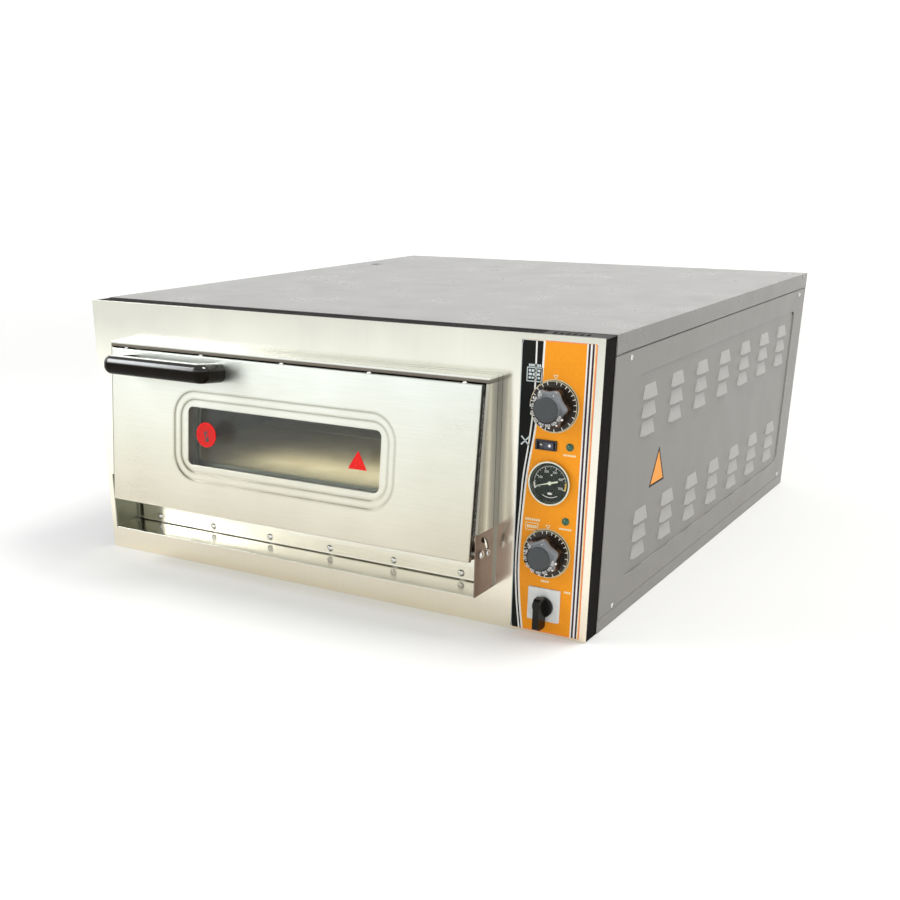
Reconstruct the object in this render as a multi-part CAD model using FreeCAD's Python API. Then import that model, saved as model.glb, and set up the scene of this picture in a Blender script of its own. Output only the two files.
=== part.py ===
import FreeCAD, Part
import math
import os

# Electric deck oven: a sheet-metal cabinet with one bake chamber, a polished front, a bottom-hinged
# door that leans back, and a column of controls on the right.
# Everything is drawn from the cabinet's lower left front corner: X to the right, Y to the back, Z up.
# `save` moves each piece so that the origin is the centre of the base, on the surface it stands on.

V = FreeCAD.Vector

# ---- cabinet -----------------------------------------------------------------------------------
width = 880.0
depth = 1028.0
height = 413.0
plate = 1.5                # stainless front sheets
sheet = 1.2                # painted cabinet sheets
frame_depth = 41.0         # black spacer frame between the fascia and the cabinet body
tray_rise = 20.0           # turned-up edge of the base tray
lid_lip = 26.0             # turned-down edge of the lid
seam = 0.8                 # shadow gap between panels
vent_left = 787.0          # start of the slotted cover in the spacer frame's top
post_leg = 25.0            # leg of the corner angles
panel_edge = 12.0          # depth of the side panels' turned edges
field_front = 122.0        # pressed-in field of the side panels
field_rear = 965.0
field_low = 57.0
field_high = 350.0
field_depth = 2.0
louvre_length = 54.0
louvre_height = 19.0
louvre_stand = 4.5
louvre_first = 186.6
louvre_pitch = 116.9
louvre_columns = 7
louvre_rows = (320.0, 294.0, 268.0, 139.5, 113.0, 86.5)
rear_louvre_columns = (-150.0, -80.0, -10.0, 60.0, 130.0)
rear_louvre_rows = (300.0, 274.0, 248.0)
panel_screws = ((97.0, 377.0), (983.0, 377.0), (93.0, 27.0), (985.0, 27.0))
rear_screws = tuple((x, z) for x in (40.0, 306.0, 574.0, 840.0) for z in (34.0, 374.0))
gland_x = 800.0
gland_z = 70.0

# ---- bake chamber and throat -------------------------------------------------------------------
mouth_centre = 401.0       # X of the middle of the chamber, door and surround
chamber_left = mouth_centre - 308.0
chamber_right = mouth_centre + 308.0
chamber_floor = 130.5
chamber_roof = 328.5
chamber_rear = 930.0
stone_thick = 18.0
stone_rise = 18.0          # top of the stone rails above the chamber floor
stone_count = 3
element_radius = 4.0
element_count = 4
element_span = 70.0        # distance between the two legs of one hairpin
shield_x = 745.0           # wall between the chamber side and the control compartment
upper_level = chamber_roof - 18.0
lower_level = chamber_floor + 8.0
probe_radius = 3.0
probe_places = tuple((y, chamber_roof - 18.0) for y in (250.0, 480.0, 710.0))
insulation_left = 16.0
insulation_low = 62.0
insulation_high = 404.0
flue_x = 49.0
flue_y = 790.0
flue_level = 290.0
flue_bend = 30.0
flue_outer = 14.7
flue_inner = 13.5

# ---- door surround and ledge -------------------------------------------------------------------
surround_left = mouth_centre - 334.5
surround_right = mouth_centre + 334.5
surround_top = 357.0
surround_reach = 33.0      # how far the top of the surround stands out from the fascia
hem_top = 7.4              # height of the surround's turned-down front edge
hem_side = 4.0
ledge_floor = 58.0
ledge_reach = 58.4
ledge_bend = 3.0
bracket_top = 147.5
bracket_thick = 2.0
bracket_foot = 3.0         # turned-in rear edge of the hinge plates
groove_front = 7.5         # shadow groove around the root of the surround
groove_back = 6.0
ledge_screw_x = tuple(surround_left + 45.0 + 114.4 * i for i in range(6))
ledge_screw_z = 69.0

# ---- door, drawn upright about its pivot and then leaned back ----------------------------------
door_lean = 6.0
pivot_y = -43.8
pivot_z = 117.2
door_front = pivot_y - 20.7
door_left = mouth_centre - 327.0
door_right = mouth_centre + 327.0
door_bottom = pivot_z - 9.4
door_top = pivot_z + 229.9
door_skin = 1.0
door_return = 8.0          # folded edge of the outer panel
pan_left = mouth_centre - 302.0
pan_right = mouth_centre + 302.0
pan_bottom = pivot_z + 20.0
pan_top = pivot_z + 204.0
pan_back = 34.0            # back of the inner pan, behind the door's front face
gasket_width = 9.0
gasket_back = 16.0
window_left = mouth_centre - 174.75
window_right = mouth_centre + 174.75
window_bottom = pivot_z + 65.0
window_top = pivot_z + 153.5
press_step = 2.0           # depth of each pressed step around the window
glass_thick = 4.0
pin_circle = 20.6          # guide pin's distance from the pivot
pin_rest = -7.3            # guide pin's angle with the door shut
door_travel = 85.0
pivot_radius = 3.0
running_gap = 0.05
handle_left = 98.5
handle_right = 301.0
handle_level = pivot_z + 208.3
handle_tall = 28.0
handle_bow = 17.0          # radius of the handle's outer corners
handle_stand = 54.0
handle_screw_x = (handle_left + 13.0, handle_right - 13.0)
top_screw_back = 3.2
top_screw_x = tuple(mouth_centre + 150.0 * i for i in (-2, -1, 0, 1, 2))
ring_margin_x = (26.0, 14.5)     # outer and inner pressed steps beside the window
ring_margin_z = (25.0, 13.0)
ring_radius = (42.0, 30.0)
ear_outer = door_right - door_skin
ear_inner = ear_outer - 2.4

# ---- controls ----------------------------------------------------------------------------------
label_left = 764.6
label_right = 870.0
label_bottom = 3.5
label_top = 405.4
label_thick = 0.4
control_x = 815.0
upper_knob_z = 322.0
lower_knob_z = 120.0
thermometer_z = 219.5
cam_z = 45.5
cam_lever_z = 43.0
lamp_x = 840.4
lamp_levels = (270.7, 169.5)
rocker_x = 806.5
rocker_z = 270.0
rocker_tilt = 9.0
rocker_half = 4.4          # half the rocker's height
needle_angle = 195.4       # from +X, towards +Z
dial_level = -1.0          # Y of the thermometer's dial
shaft_radius = 3.0
knob_skirt = 34.0
knob_lobe = 27.4           # radius over the grip's lobes
knob_hollow = 22.8         # radius to the bottom of its hollows
knob_hollows = 6
knob_first_lobe = 62.0     # angle of one lobe from +X
knob_cap = 16.4
knob_back = -label_thick - 0.8
knob_skirt_thick = 2.8
knob_shoulder = -22.5
cam_half = 24.2
cam_boss = 15.0


# ---- helpers -----------------------------------------------------------------------------------
def box(x0, x1, y0, y1, z0, z1):
    """Block between two corners."""
    return Part.makeBox(x1 - x0, y1 - y0, z1 - z0, V(x0, y0, z0))


def bar_y(x, z, y0, y1, radius):
    """Round bar along Y."""
    return Part.makeCylinder(radius, y1 - y0, V(x, y0, z), V(0, 1, 0))


def bar_x(y, z, x0, x1, radius):
    """Round bar along X."""
    return Part.makeCylinder(radius, x1 - x0, V(x0, y, z), V(1, 0, 0))


def rounded(block, axis, radius):
    """Block with its four edges along `axis` rounded."""
    edges = [e for e in block.Edges if abs(e.tangentAt(e.FirstParameter).dot(axis)) > 0.99]
    return block.makeFillet(radius, edges)


def plaque(x0, x1, y0, y1, z0, z1, radius):
    """Plate that faces the front, with round corners."""
    return rounded(box(x0, x1, y0, y1, z0, z1), V(0, 1, 0), radius)


def prism_x(points, x0, x1):
    """Prism along X from an outline of (y, z) points."""
    corners = [V(x0, y, z) for y, z in points]
    outline = Part.makePolygon(corners + corners[:1])
    return Part.Face(outline).extrude(V(x1 - x0, 0, 0))


def solid_of(faces):
    """Solid from lists of corner points, one list for each face."""
    shell = [Part.Face(Part.makePolygon(face + face[:1])) for face in faces]
    return Part.makeSolid(Part.makeShell(shell))


def joined(pieces):
    """One solid from pieces that meet."""
    first, *rest = pieces
    return first.fuse(rest).removeSplitter()


def group(pieces):
    """Separate solids of one node."""
    return Part.makeCompound(pieces)


def lean(shape):
    """Turn an upright door piece back to the shut door's slant."""
    leaned = shape.copy()
    leaned.rotate(V(0, pivot_y, pivot_z), V(1, 0, 0), -door_lean)
    return leaned


def mirror_x(shape, x):
    """Mirror image across the plane at x."""
    return shape.mirror(V(x, 0, 0), V(1, 0, 0))


def screw_y(x, y, z, radius, head, shank, socket=False):
    """Domed screw whose head stands out towards the front from y, with a cross or a socket."""
    ball = radius * 1.25
    top = Part.makeSphere(ball, V(x, y - head + ball, z))
    cap = top.common(bar_y(x, z, y - head, y, radius))
    screw = joined([cap, bar_y(x, z, y, y + shank, min(radius * 0.5, 1.9))])
    deep = y - head * 0.35
    if socket:
        return screw.cut(bar_y(x, z, y - head - 1, deep, radius * 0.38))
    long = radius * 0.62
    wide = radius * 0.16
    return screw.cut([box(x - long, x + long, y - head - 1, deep, z - wide, z + wide),
                      box(x - wide, x + wide, y - head - 1, deep, z - long, z + long)])


def save(name, shape):
    """Write one node, moved so that the base centre is the origin."""
    placed = shape.copy()
    placed.translate(V(-width / 2, -depth / 2, 0))
    placed.exportStep(os.path.join("parts", name + ".step"))


# ---- louvres -----------------------------------------------------------------------------------
def wedge(length, tall, stand, taper):
    """Louvre hood as a wedge: along Y, open edge at z = 0, standing out to +X."""
    half = length / 2
    base = [V(0, -half, 0), V(0, half, 0), V(0, half - taper, tall), V(0, taper - half, tall)]
    lip = [V(stand, taper - half, 0), V(stand, half - taper, 0)]
    return solid_of([base, [base[0], base[1], lip[1], lip[0]], [lip[0], lip[1], base[2], base[3]],
                     [base[0], lip[0], base[3]], [base[1], lip[1], base[2]]])


def louvred(panel, places, face):
    """Panel on plane x = face with a hood stamped out at each (y, z) place."""
    hood = wedge(louvre_length, louvre_height, louvre_stand, 6.0)
    bore = wedge(louvre_length - 4.0, louvre_height - 2.5, louvre_stand - sheet, 5.0)
    bore.translate(V(0, 0, -0.01))
    slot = box(-4 * sheet, 0.4, 9.0 - louvre_length / 2, louvre_length / 2 - 9.0, -0.01, 9.0)
    hollow = bore.fuse(slot)
    hoods = [hood.translated(V(face, y, z)) for y, z in places]
    hollows = [hollow.translated(V(face, y, z)) for y, z in places]
    return panel.fuse(hoods).cut(hollows)


# ---- cabinet -----------------------------------------------------------------------------------
def base_tray():
    outer = box(0, width, frame_depth, depth, 0, tray_rise)
    inner = box(sheet, width - sheet, frame_depth - 1, depth - sheet, plate, tray_rise + 1)
    return outer.cut(inner)


def corner_posts():
    """Four angles that tie the tray to the lid and take the panel screws."""
    top = height - sheet
    front = frame_depth + sheet
    rear = depth - seam - sheet
    front_left = joined([box(sheet, sheet + post_leg, front, front + plate, plate, top),
                         box(sheet, sheet + plate, front, front + post_leg, plate, top)])
    rear_left = front_left.mirror(V(0, (front + rear) / 2, 0), V(0, 1, 0))
    lefts = [front_left, rear_left]
    return group(lefts + [mirror_x(post, width / 2) for post in lefts])


def front_frame():
    """Black frame that spaces the fascia off the cabinet."""
    top = height - 1.0
    outer = box(1.0, width - 1.0, plate, frame_depth, 0, top)
    inner = box(1.0 + plate, width - 1.0 - plate, plate - 1, frame_depth - plate, plate, top - plate)
    mouth = box(26.0, width - 26.0, frame_depth - 2 * plate, frame_depth + 1, 24.0, top - 24.0)
    vent_bay = box(vent_left, width, plate - 1, frame_depth - plate, top - plate - 1, top + 1)
    side_bay = box(width - 3, width, plate - 1, frame_depth - plate, top - plate - 1, top + 1)
    return outer.cut([inner, mouth, vent_bay, side_bay])


def control_vent():
    """Slotted cover over the control compartment's front bay."""
    top = height - 0.6
    cover = box(vent_left + 0.3, width - 1.0, plate, frame_depth - plate, top - plate, top)
    leg = box(vent_left + 0.3, vent_left + 0.3 + sheet, plate, frame_depth - plate, top - 12.0, top)
    slots = [plaque_top(802.0 + 9.3 * i, 13.0, 5.0, 15.0, top) for i in range(6)]
    return joined([cover, leg]).cut(slots)


def plaque_top(x, y, wide, long, top):
    """Cutter for a slot with round ends in a horizontal sheet."""
    block = box(x - wide / 2, x + wide / 2, y, y + long, top - 3, top + 1)
    return rounded(block, V(0, 0, 1), wide * 0.48)


def front_fascia():
    panel = box(0, width, 0, plate, 0, height)
    mouth = box(chamber_left - plate, chamber_right + plate, -1, 3,
                chamber_floor - plate, chamber_roof + plate)
    return panel.cut([mouth] + control_holes())


def control_label():
    panel = plaque(label_left, label_right, -label_thick, 0, label_bottom, label_top, 2.5)
    return panel.cut(control_holes())


def control_holes():
    """Cutters for what passes through the fascia and its label."""
    holes = [bar_y(control_x, z, -2, 3, 5.0) for z in (upper_knob_z, lower_knob_z)]
    holes.append(bar_y(control_x, thermometer_z, -2, 3, 26.0))
    holes += [bar_y(lamp_x, z, -2, 3, 3.5) for z in lamp_levels]
    holes.append(box(rocker_x - 13.8, rocker_x + 13.8, -2, 3, rocker_z - 5.6, rocker_z + 5.6))
    holes.append(bar_y(control_x, cam_lever_z, -2, 3, 6.5))
    return holes


def top_lid():
    outer = box(0, width, frame_depth, depth, height - lid_lip, height)
    inner = box(sheet, width - sheet, frame_depth + sheet, depth - sheet, 0, height - sheet)
    relief = box(-1, width + 1, frame_depth - 1, frame_depth + sheet + 0.01, 0, height - 10.0)
    hole = Part.makeCylinder(15.0, 10, V(flue_x, flue_y, height - 5))
    return outer.cut([inner, relief, hole])


def side_panel():
    """Right side panel: turned in above and below, with a pressed-in field and rows of louvres."""
    low = tray_rise + seam
    high = height - lid_lip - seam
    front = frame_depth + seam
    rear = depth - seam
    clear = post_leg + 3.0
    face = box(width - sheet, width, front, rear, low, high)
    turned = box(width - panel_edge, width, front + clear, rear - clear, low, high)
    trough = box(width - panel_edge - 1, width - sheet, front, rear, low + sheet, high - sheet)
    along = V(1, 0, 0)
    press = box(width - sheet - field_depth, width, field_front, field_rear, field_low, field_high)
    pocket = box(width - field_depth, width + 1, field_front + sheet, field_rear - sheet,
                 field_low + sheet, field_high - sheet)
    panel = face.fuse([turned.cut(trough), rounded(press, along, 18.0)]).cut(rounded(pocket, along, 17.0))
    places = [(louvre_first + louvre_pitch * i, row - louvre_height / 2)
              for i in range(louvre_columns) for row in louvre_rows]
    return louvred(panel, places, width - field_depth).cut(panel_screw_holes())


def panel_screw_holes():
    return [bar_x(y, z, width - 3, width + 1, 2.0) for y, z in panel_screws]


def side_panel_screws():
    screws = []
    for y, z in panel_screws:
        screw = screw_y(0, 0, 0, 4.0, 2.4, 9.0)
        screw.rotate(V(0, 0, 0), V(0, 0, 1), 90)
        screws.append(screw.translated(V(width, y, z)))
    return group(screws + [mirror_x(screw, width / 2) for screw in screws])


def rear_panel():
    face = depth - seam
    low = tray_rise + seam
    high = height - lid_lip - seam
    panel = box(sheet + 0.3, width - sheet - 0.3, face - sheet, face, low, high)
    hood = [(y, z) for y in rear_louvre_columns for z in rear_louvre_rows]
    turned = panel.translated(V(-width / 2, -face, 0))
    turned.rotate(V(0, 0, 0), V(0, 0, 1), -90)
    turned = louvred(turned, hood, 0.0)
    turned.rotate(V(0, 0, 0), V(0, 0, 1), 90)
    panel = turned.translated(V(width / 2, face, 0))
    holes = [bar_y(x, z, face - 3, face + 1, 2.0) for x, z in rear_screws]
    return panel.cut(holes + [bar_y(gland_x, gland_z, face - 3, face + 1, 10.0)])


def rear_panel_screws():
    screws = []
    for x, z in rear_screws:
        screw = screw_y(0, 0, 0, 4.0, 2.4, 9.0)
        screw.rotate(V(0, 0, 0), V(0, 0, 1), 180)
        screws.append(screw.translated(V(x, depth - seam, z)))
    return group(screws)


# ---- chamber -----------------------------------------------------------------------------------
def chamber_box(grow, y0, y1):
    return box(chamber_left - grow, chamber_right + grow, y0, y1,
               chamber_floor - grow, chamber_roof + grow)


def flue_path(radius):
    """Solid elbow from the chamber's left wall up to the lid."""
    low = V(flue_x + flue_bend, flue_y, flue_level)
    start = Part.Face(Part.Wire(Part.makeCircle(radius, low, V(1, 0, 0))))
    turn = start.revolve(V(flue_x + flue_bend, flue_y, flue_level + flue_bend), V(0, 1, 0), 90)
    rise = Part.makeCylinder(radius, height - flue_level - flue_bend,
                             V(flue_x, flue_y, flue_level + flue_bend))
    stub = bar_x(flue_y, flue_level, low.x, chamber_left - sheet, radius)
    return turn.fuse([rise, stub])


def steam_flue():
    return flue_path(flue_outer).cut(flue_path(flue_inner)).removeSplitter()


def element_places():
    """Y of each hairpin's two legs."""
    pitch = (chamber_rear - 60.0) / element_count
    return [60.0 + pitch * (i + 0.5) - element_span / 2 for i in range(element_count)]


def hairpins(level):
    """Sheathed elements: two legs across the chamber, joined by a half turn at the left."""
    pins = []
    bend = element_span / 2
    turn_x = chamber_left + 50.0
    for y in element_places():
        legs = [bar_x(y + off, level, turn_x, shield_x + 14.0, element_radius) for off in (0, element_span)]
        start = Part.Face(Part.Wire(Part.makeCircle(element_radius, V(turn_x, y, level), V(1, 0, 0))))
        turn = start.revolve(V(turn_x, y + bend, level), V(0, 0, 1), -180)
        pins.append(joined([legs[0], turn, legs[1]]))
    return pins


def wall_bores(gap):
    """Cutters where elements and probes pass through the chamber's right side."""
    bores = []
    for y in element_places():
        for off in (0, element_span):
            bores += [bar_x(y + off, level, chamber_right - 14, shield_x + 20, element_radius + gap)
                      for level in (upper_level, lower_level)]
    probe_ends = (chamber_right - 14, shield_x + 30)
    return bores + [bar_x(y, z, *probe_ends, probe_radius + gap) for y, z in probe_places]


def chamber_liner():
    liner = chamber_box(sheet, plate, chamber_rear).cut(chamber_box(0, 0, chamber_rear - sheet))
    outlet = bar_x(flue_y, flue_level, chamber_left - 3, chamber_left + 1, flue_inner)
    return liner.cut([outlet] + wall_bores(0.0))


def stone_rails():
    """Angle rails along both chamber walls that carry the stones."""
    top = chamber_floor + stone_rise
    legs = [box(chamber_left, chamber_left + plate, 8, chamber_rear - 8, chamber_floor, top),
            box(chamber_left, chamber_left + 14, 8, chamber_rear - 8, top - plate, top)]
    left = joined(legs)
    right = mirror_x(left, mouth_centre).cut(wall_bores(0.4))
    return group([left, right])


def stone_slabs():
    """Refractory slabs laid side by side on the rails."""
    low = chamber_floor + stone_rise
    long = (chamber_rear - 16.0) / stone_count
    top = low + stone_thick
    slabs = [box(chamber_left + 2, chamber_right - 2, 8 + long * i, 6 + long * (i + 1), low, top)
             for i in range(stone_count)]
    return group([slab.makeChamfer(1.0, slab.Edges) for slab in slabs])


def sensor_probes():
    """Thermostat and thermometer bulbs through the chamber's right wall."""
    return group([bar_x(y, z, chamber_right - 70, shield_x + 22, probe_radius) for y, z in probe_places])


def throat_frame():
    """Collar from the chamber mouth to the slanted seat of the door seal."""
    seat = door_front + gasket_back + 0.3
    slant = math.tan(math.radians(door_lean))

    def seat_y(z, back=0.0):
        return seat + back + (z - pivot_z) * slant + 0.35

    low = chamber_floor - plate
    high = chamber_roof + plate
    outline = [(plate, low), (plate, high), (seat_y(high), high), (seat_y(low), low)]
    tube = prism_x(outline, chamber_left - plate, chamber_right + plate)
    tube = tube.cut(chamber_box(0, -90, 10))
    flange_low = pivot_z + 4.0
    flange_high = pivot_z + 228.0
    rim = [(seat_y(flange_low), flange_low), (seat_y(flange_high), flange_high),
           (seat_y(flange_high, plate), flange_high), (seat_y(flange_low, plate), flange_low)]
    flange = prism_x(rim, door_left + 4.1, door_right - 4.1)
    return joined([tube, flange.cut(chamber_box(0, -90, 10))])


def insulation_wrap():
    """Mineral wool over the chamber and down both its sides."""
    outer = box(insulation_left, shield_x, frame_depth + 3, chamber_rear,
                chamber_floor - sheet, insulation_high)
    inner = chamber_box(sheet, 0, depth)
    return outer.cut([inner, flue_path(flue_outer + 0.2)] + wall_bores(0.2))


def insulation_bottom():
    return box(insulation_left, shield_x, frame_depth + 3, chamber_rear,
               insulation_low, chamber_floor - sheet)


def insulation_rear():
    return box(insulation_left, shield_x, chamber_rear, chamber_rear + 50,
               insulation_low, insulation_high)


def heat_shield():
    """Sheet wall that keeps the control compartment cool."""
    wall = box(shield_x, shield_x + sheet, frame_depth + 3, depth - 30, plate, insulation_high)
    foot = box(shield_x, shield_x + 18, frame_depth + 3, depth - 30, plate, 2 * plate)
    return joined([wall, foot]).cut(wall_bores(0.2))


# ---- door surround -----------------------------------------------------------------------------
def surround_y(z, back=0.0):
    """Y of the surround's slanted front edge at height z."""
    slant = math.tan(math.radians(door_lean))
    return back - surround_reach - (surround_top - z) * slant


def surround_prism(inset, back, y_rear, z_low):
    top = surround_top - inset
    front = [(surround_y(z_low, back), z_low), (surround_y(top, back), top)]
    outline = [(y_rear, z_low)] + front + [(y_rear, top)]
    return prism_x(outline, surround_left + inset, surround_right - inset)


def door_surround():
    """Hood round the door: a top and two sides with a hemmed front edge."""
    shell = surround_prism(0, 0, -groove_front, bracket_top)
    hollow = surround_prism(plate, 2 * plate, 5, bracket_top - 5)
    opening = [(5, 0), (-90, 0), (-90, surround_top - hem_top), (5, surround_top - hem_top)]
    mouth = prism_x(opening, surround_left + hem_side, surround_right - hem_side)
    return shell.cut([hollow, mouth])


def surround_flange():
    """Sleeve that joins the surround to the fascia behind the shadow groove."""
    ring = box(surround_left, surround_right, -groove_back, 0, ledge_floor, surround_top)
    ring = ring.cut(box(surround_left + plate, surround_right - plate, -20, 5, 0, surround_top - plate))
    sleeve = box(surround_left + plate, surround_right - plate, -14, 0,
                 bracket_top + 1, surround_top - plate)
    inset = plate + 1.0
    hollow = box(surround_left + inset, surround_right - inset, -20, 5, 0, surround_top - inset)
    return joined([ring, sleeve.cut(hollow)])


def crumb_ledge():
    """Shelf under the door with a turned-up back, screwed to the fascia."""
    left = surround_left + bracket_thick
    right = surround_right - bracket_thick
    floor = box(left, right, -ledge_reach, 0, ledge_floor, ledge_floor + plate)
    back = box(left, right, -plate, 0, ledge_floor, pivot_z - 5.0)
    inner = ledge_floor + plate
    bend = box(left, right, -plate - ledge_bend, -plate, inner, inner + ledge_bend)
    bend = bend.cut(bar_x(-plate - ledge_bend, inner + ledge_bend, left - 1, right + 1, ledge_bend))
    holes = [bar_y(x, ledge_screw_z, -5, 5, 1.9) for x in ledge_screw_x]
    return joined([floor, back, bend]).cut(holes)


def ledge_screws():
    return group([screw_y(x, -plate, ledge_screw_z, 5.6, 2.7, 1.5, True) for x in ledge_screw_x])


def arc_slot(x0, x1, radius):
    """Curved slot about the pivot for a guide pin, along the whole door travel."""
    angles = [math.radians(pin_rest - 1.5), math.radians(pin_rest + door_travel + 1.5)]
    inner = pin_circle - radius
    outer = pin_circle + radius
    ends = [V(x0, pivot_y + pin_circle * math.cos(a), pivot_z + pin_circle * math.sin(a)) for a in angles]
    ring = Part.makeCylinder(outer, x1 - x0, V(x0, pivot_y, pivot_z), V(1, 0, 0))
    ring = ring.cut(Part.makeCylinder(inner, x1 - x0, V(x0, pivot_y, pivot_z), V(1, 0, 0)))
    fan = [(pivot_y, pivot_z)]
    steps = 6
    for i in range(steps + 1):
        a = angles[0] + (angles[1] - angles[0]) * i / steps
        fan.append((pivot_y + 60 * math.cos(a), pivot_z + 60 * math.sin(a)))
    sector = ring.common(prism_x(fan, x0, x1))
    return sector.fuse([Part.makeCylinder(radius, x1 - x0, end, V(1, 0, 0)) for end in ends])


def hinge_bracket():
    """Right-hand hinge plate with the pivot hole and the guide slot."""
    x0 = surround_right - bracket_thick
    x1 = surround_right
    side = box(x0, x1, -ledge_reach, -groove_front, ledge_floor, bracket_top)
    foot = box(x0 - bracket_foot, x1, -groove_front, -groove_back, ledge_floor + plate + 3.5, bracket_top)
    hole = bar_x(pivot_y, pivot_z, x0 - 1, x1 + 1, pivot_radius + running_gap)
    return joined([side, foot]).cut([hole, arc_slot(x0 - 1, x1 + 1, 3.6)])


# ---- door --------------------------------------------------------------------------------------
def door_plate(x0, x1, back0, back1, z0, z1, radius=0.0):
    """Upright plate given by how far it lies behind the door's front face."""
    block = box(x0, x1, door_front + back0, door_front + back1, z0, z1)
    return rounded(block, V(0, 1, 0), radius) if radius else block


def step_plate(index, inset, back0, back1):
    mx = ring_margin_x[index] - inset
    mz = ring_margin_z[index] - inset
    return door_plate(window_left - mx, window_right + mx, back0, back1,
                      window_bottom - mz, window_top + mz, ring_radius[index] - inset)


def window_cut(grow, back0, back1, radius):
    return door_plate(window_left - grow, window_right + grow, back0, back1,
                      window_bottom - grow, window_top + grow, radius)


def door_outer_panel():
    """Stainless skin, folded back at the edges and stepped in twice towards the window."""
    skin = door_plate(door_left, door_right, 0, door_return, door_bottom, door_top)
    inside = door_plate(door_left + door_skin, door_right - door_skin, door_skin, door_return + 1,
                        door_bottom + door_skin, door_top - door_skin)
    panel = skin.cut(inside)
    for index in (0, 1):
        level = press_step * index
        panel = panel.fuse(step_plate(index, 0, level, level + press_step + door_skin))
        panel = panel.cut(step_plate(index, door_skin, level - 1, level + press_step))
    holes = [bar_y(x, handle_level, door_front - 1, door_front + 3, 2.6) for x in handle_screw_x]
    top_y = door_front + top_screw_back
    holes += [Part.makeCylinder(1.9, 4, V(x, top_y, door_top - 3)) for x in top_screw_x]
    return lean(panel.cut(window_cut(0, -1, 9, 9.0)).cut(holes).removeSplitter())


def door_inner_pan():
    """Inner tray that closes the door, with a flange for the seal."""
    gap = 1.2
    flange = door_plate(door_left + gap, door_right - gap, door_return, door_return + door_skin,
                        door_bottom + gap, door_top - gap)
    body = door_plate(pan_left, pan_right, door_return, pan_back, pan_bottom, pan_top, 6.0)
    hollow = door_plate(pan_left + door_skin, pan_right - door_skin, door_return - 1, pan_back - door_skin,
                        pan_bottom + door_skin, pan_top - door_skin, 5.0)
    return lean(flange.fuse(body).cut([hollow, window_cut(-2, 20, 40, 9.0)]).removeSplitter())


def door_insulation():
    wool = door_plate(pan_left + 1.5, pan_right - 1.5, door_return, pan_back - 1.5,
                      pan_bottom + 1.5, pan_top - 1.5, 5.0)
    return lean(wool.cut(window_cut(14, 0, 40, 4.0)))


glass_back = press_step * 2 + door_skin


def window_glass(back):
    return lean(window_cut(10, back, back + glass_thick, 3.0))


def window_frame():
    """Sheet sleeve that holds the two panes apart."""
    front = glass_back + glass_thick
    rear = pan_back - door_skin - glass_thick
    outer = window_cut(10, front, rear, 3.0)
    return lean(outer.cut(window_cut(1.5, front - 1, rear + 1, 8.0)).cut(
        window_cut(9, front + 1.2, rear - 1.2, 2.5)))


def door_gasket():
    """Braided seal strip round the inner pan."""
    inset_x = 5.1
    x0 = door_left + inset_x
    x1 = door_right - inset_x
    z0 = pivot_z + 4.6
    z1 = pivot_z + 226.0
    back0 = door_return + door_skin
    outer = door_plate(x0, x1, back0, gasket_back, z0, z1, 5.0)
    inner = door_plate(x0 + gasket_width, x1 - gasket_width, back0 - 1, gasket_back + 1,
                       z0 + gasket_width, z1 - gasket_width, 3.0)
    return lean(outer.cut(inner))


def door_top_screws():
    screws = []
    for x in top_screw_x:
        screw = screw_y(0, 0, 0, 3.2, 2.6, 3.0)
        screw.rotate(V(0, 0, 0), V(1, 0, 0), -90)
        screws.append(screw.translated(V(x, door_front + top_screw_back, door_top)))
    return group([lean(screw) for screw in screws])


def door_handle():
    """Moulded bow handle: a thick rounded bar that turns back into two posts."""
    z0 = handle_level - handle_tall / 2
    z1 = handle_level + handle_tall / 2
    front = door_front - handle_stand
    up = V(0, 0, 1)
    outside = rounded(box(handle_left, handle_right, front, door_front + 30, z0, z1), up, handle_bow)
    rims = [e for e in outside.Edges if e.BoundBox.ZLength < 0.1 and e.BoundBox.YMin < door_front]
    rims = [e for e in rims if e.BoundBox.YMax < door_front + 12]
    outside = outside.makeFillet(handle_tall * 0.42, rims)
    outside = outside.common(box(handle_left - 1, handle_right + 1, front - 1, door_front, z0 - 1, z1 + 1))
    gap = box(handle_left + 23, handle_right - 23, front + 22, door_front + 9, z0 - 1, z1 + 1)
    gap = rounded(gap, up, 8.0)
    holes = [bar_y(x, handle_level, door_front - 16, door_front + 1, 2.0) for x in handle_screw_x]
    return lean(outside.cut(gap).cut(holes))


def handle_screws():
    """Screws from inside the door skin into the handle's posts."""
    screws = []
    for x in handle_screw_x:
        shank = bar_y(x, handle_level, door_front - 15, door_front + door_skin, 2.0)
        head = bar_y(x, handle_level, door_front + door_skin, door_front + 3.5, 4.0)
        screws.append(lean(joined([shank, head])))
    return group(screws)


def hinge_ears():
    """Plates on the door's sides that carry the pivot screws and guide pins."""
    back = door_front + door_return + door_skin
    outline = [(back, pivot_z - 7.5), (pivot_y + 26, pivot_z - 8.5), (pivot_y + 28, pivot_z + 12),
               (pivot_y + 19, pivot_z + 27), (pivot_y + 4, pivot_z + 29), (back + 6, pivot_z + 62),
               (back, pivot_z + 62)]
    tab = prism_x(outline, ear_inner, ear_outer)
    pin = pin_centre()
    holes = [bar_x(pivot_y, pivot_z, ear_inner - 1, ear_outer + 1, pivot_radius),
             bar_x(pin.y, pin.z, ear_inner - 1, ear_outer + 1, 2.5)]
    right = lean(tab).cut(holes)
    return group([mirror_x(right, mouth_centre), right])


def pin_centre():
    """Guide pin's place with the door shut."""
    a = math.radians(pin_rest)
    return V(0, pivot_y + pin_circle * math.cos(a), pivot_z + pin_circle * math.sin(a))


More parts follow.
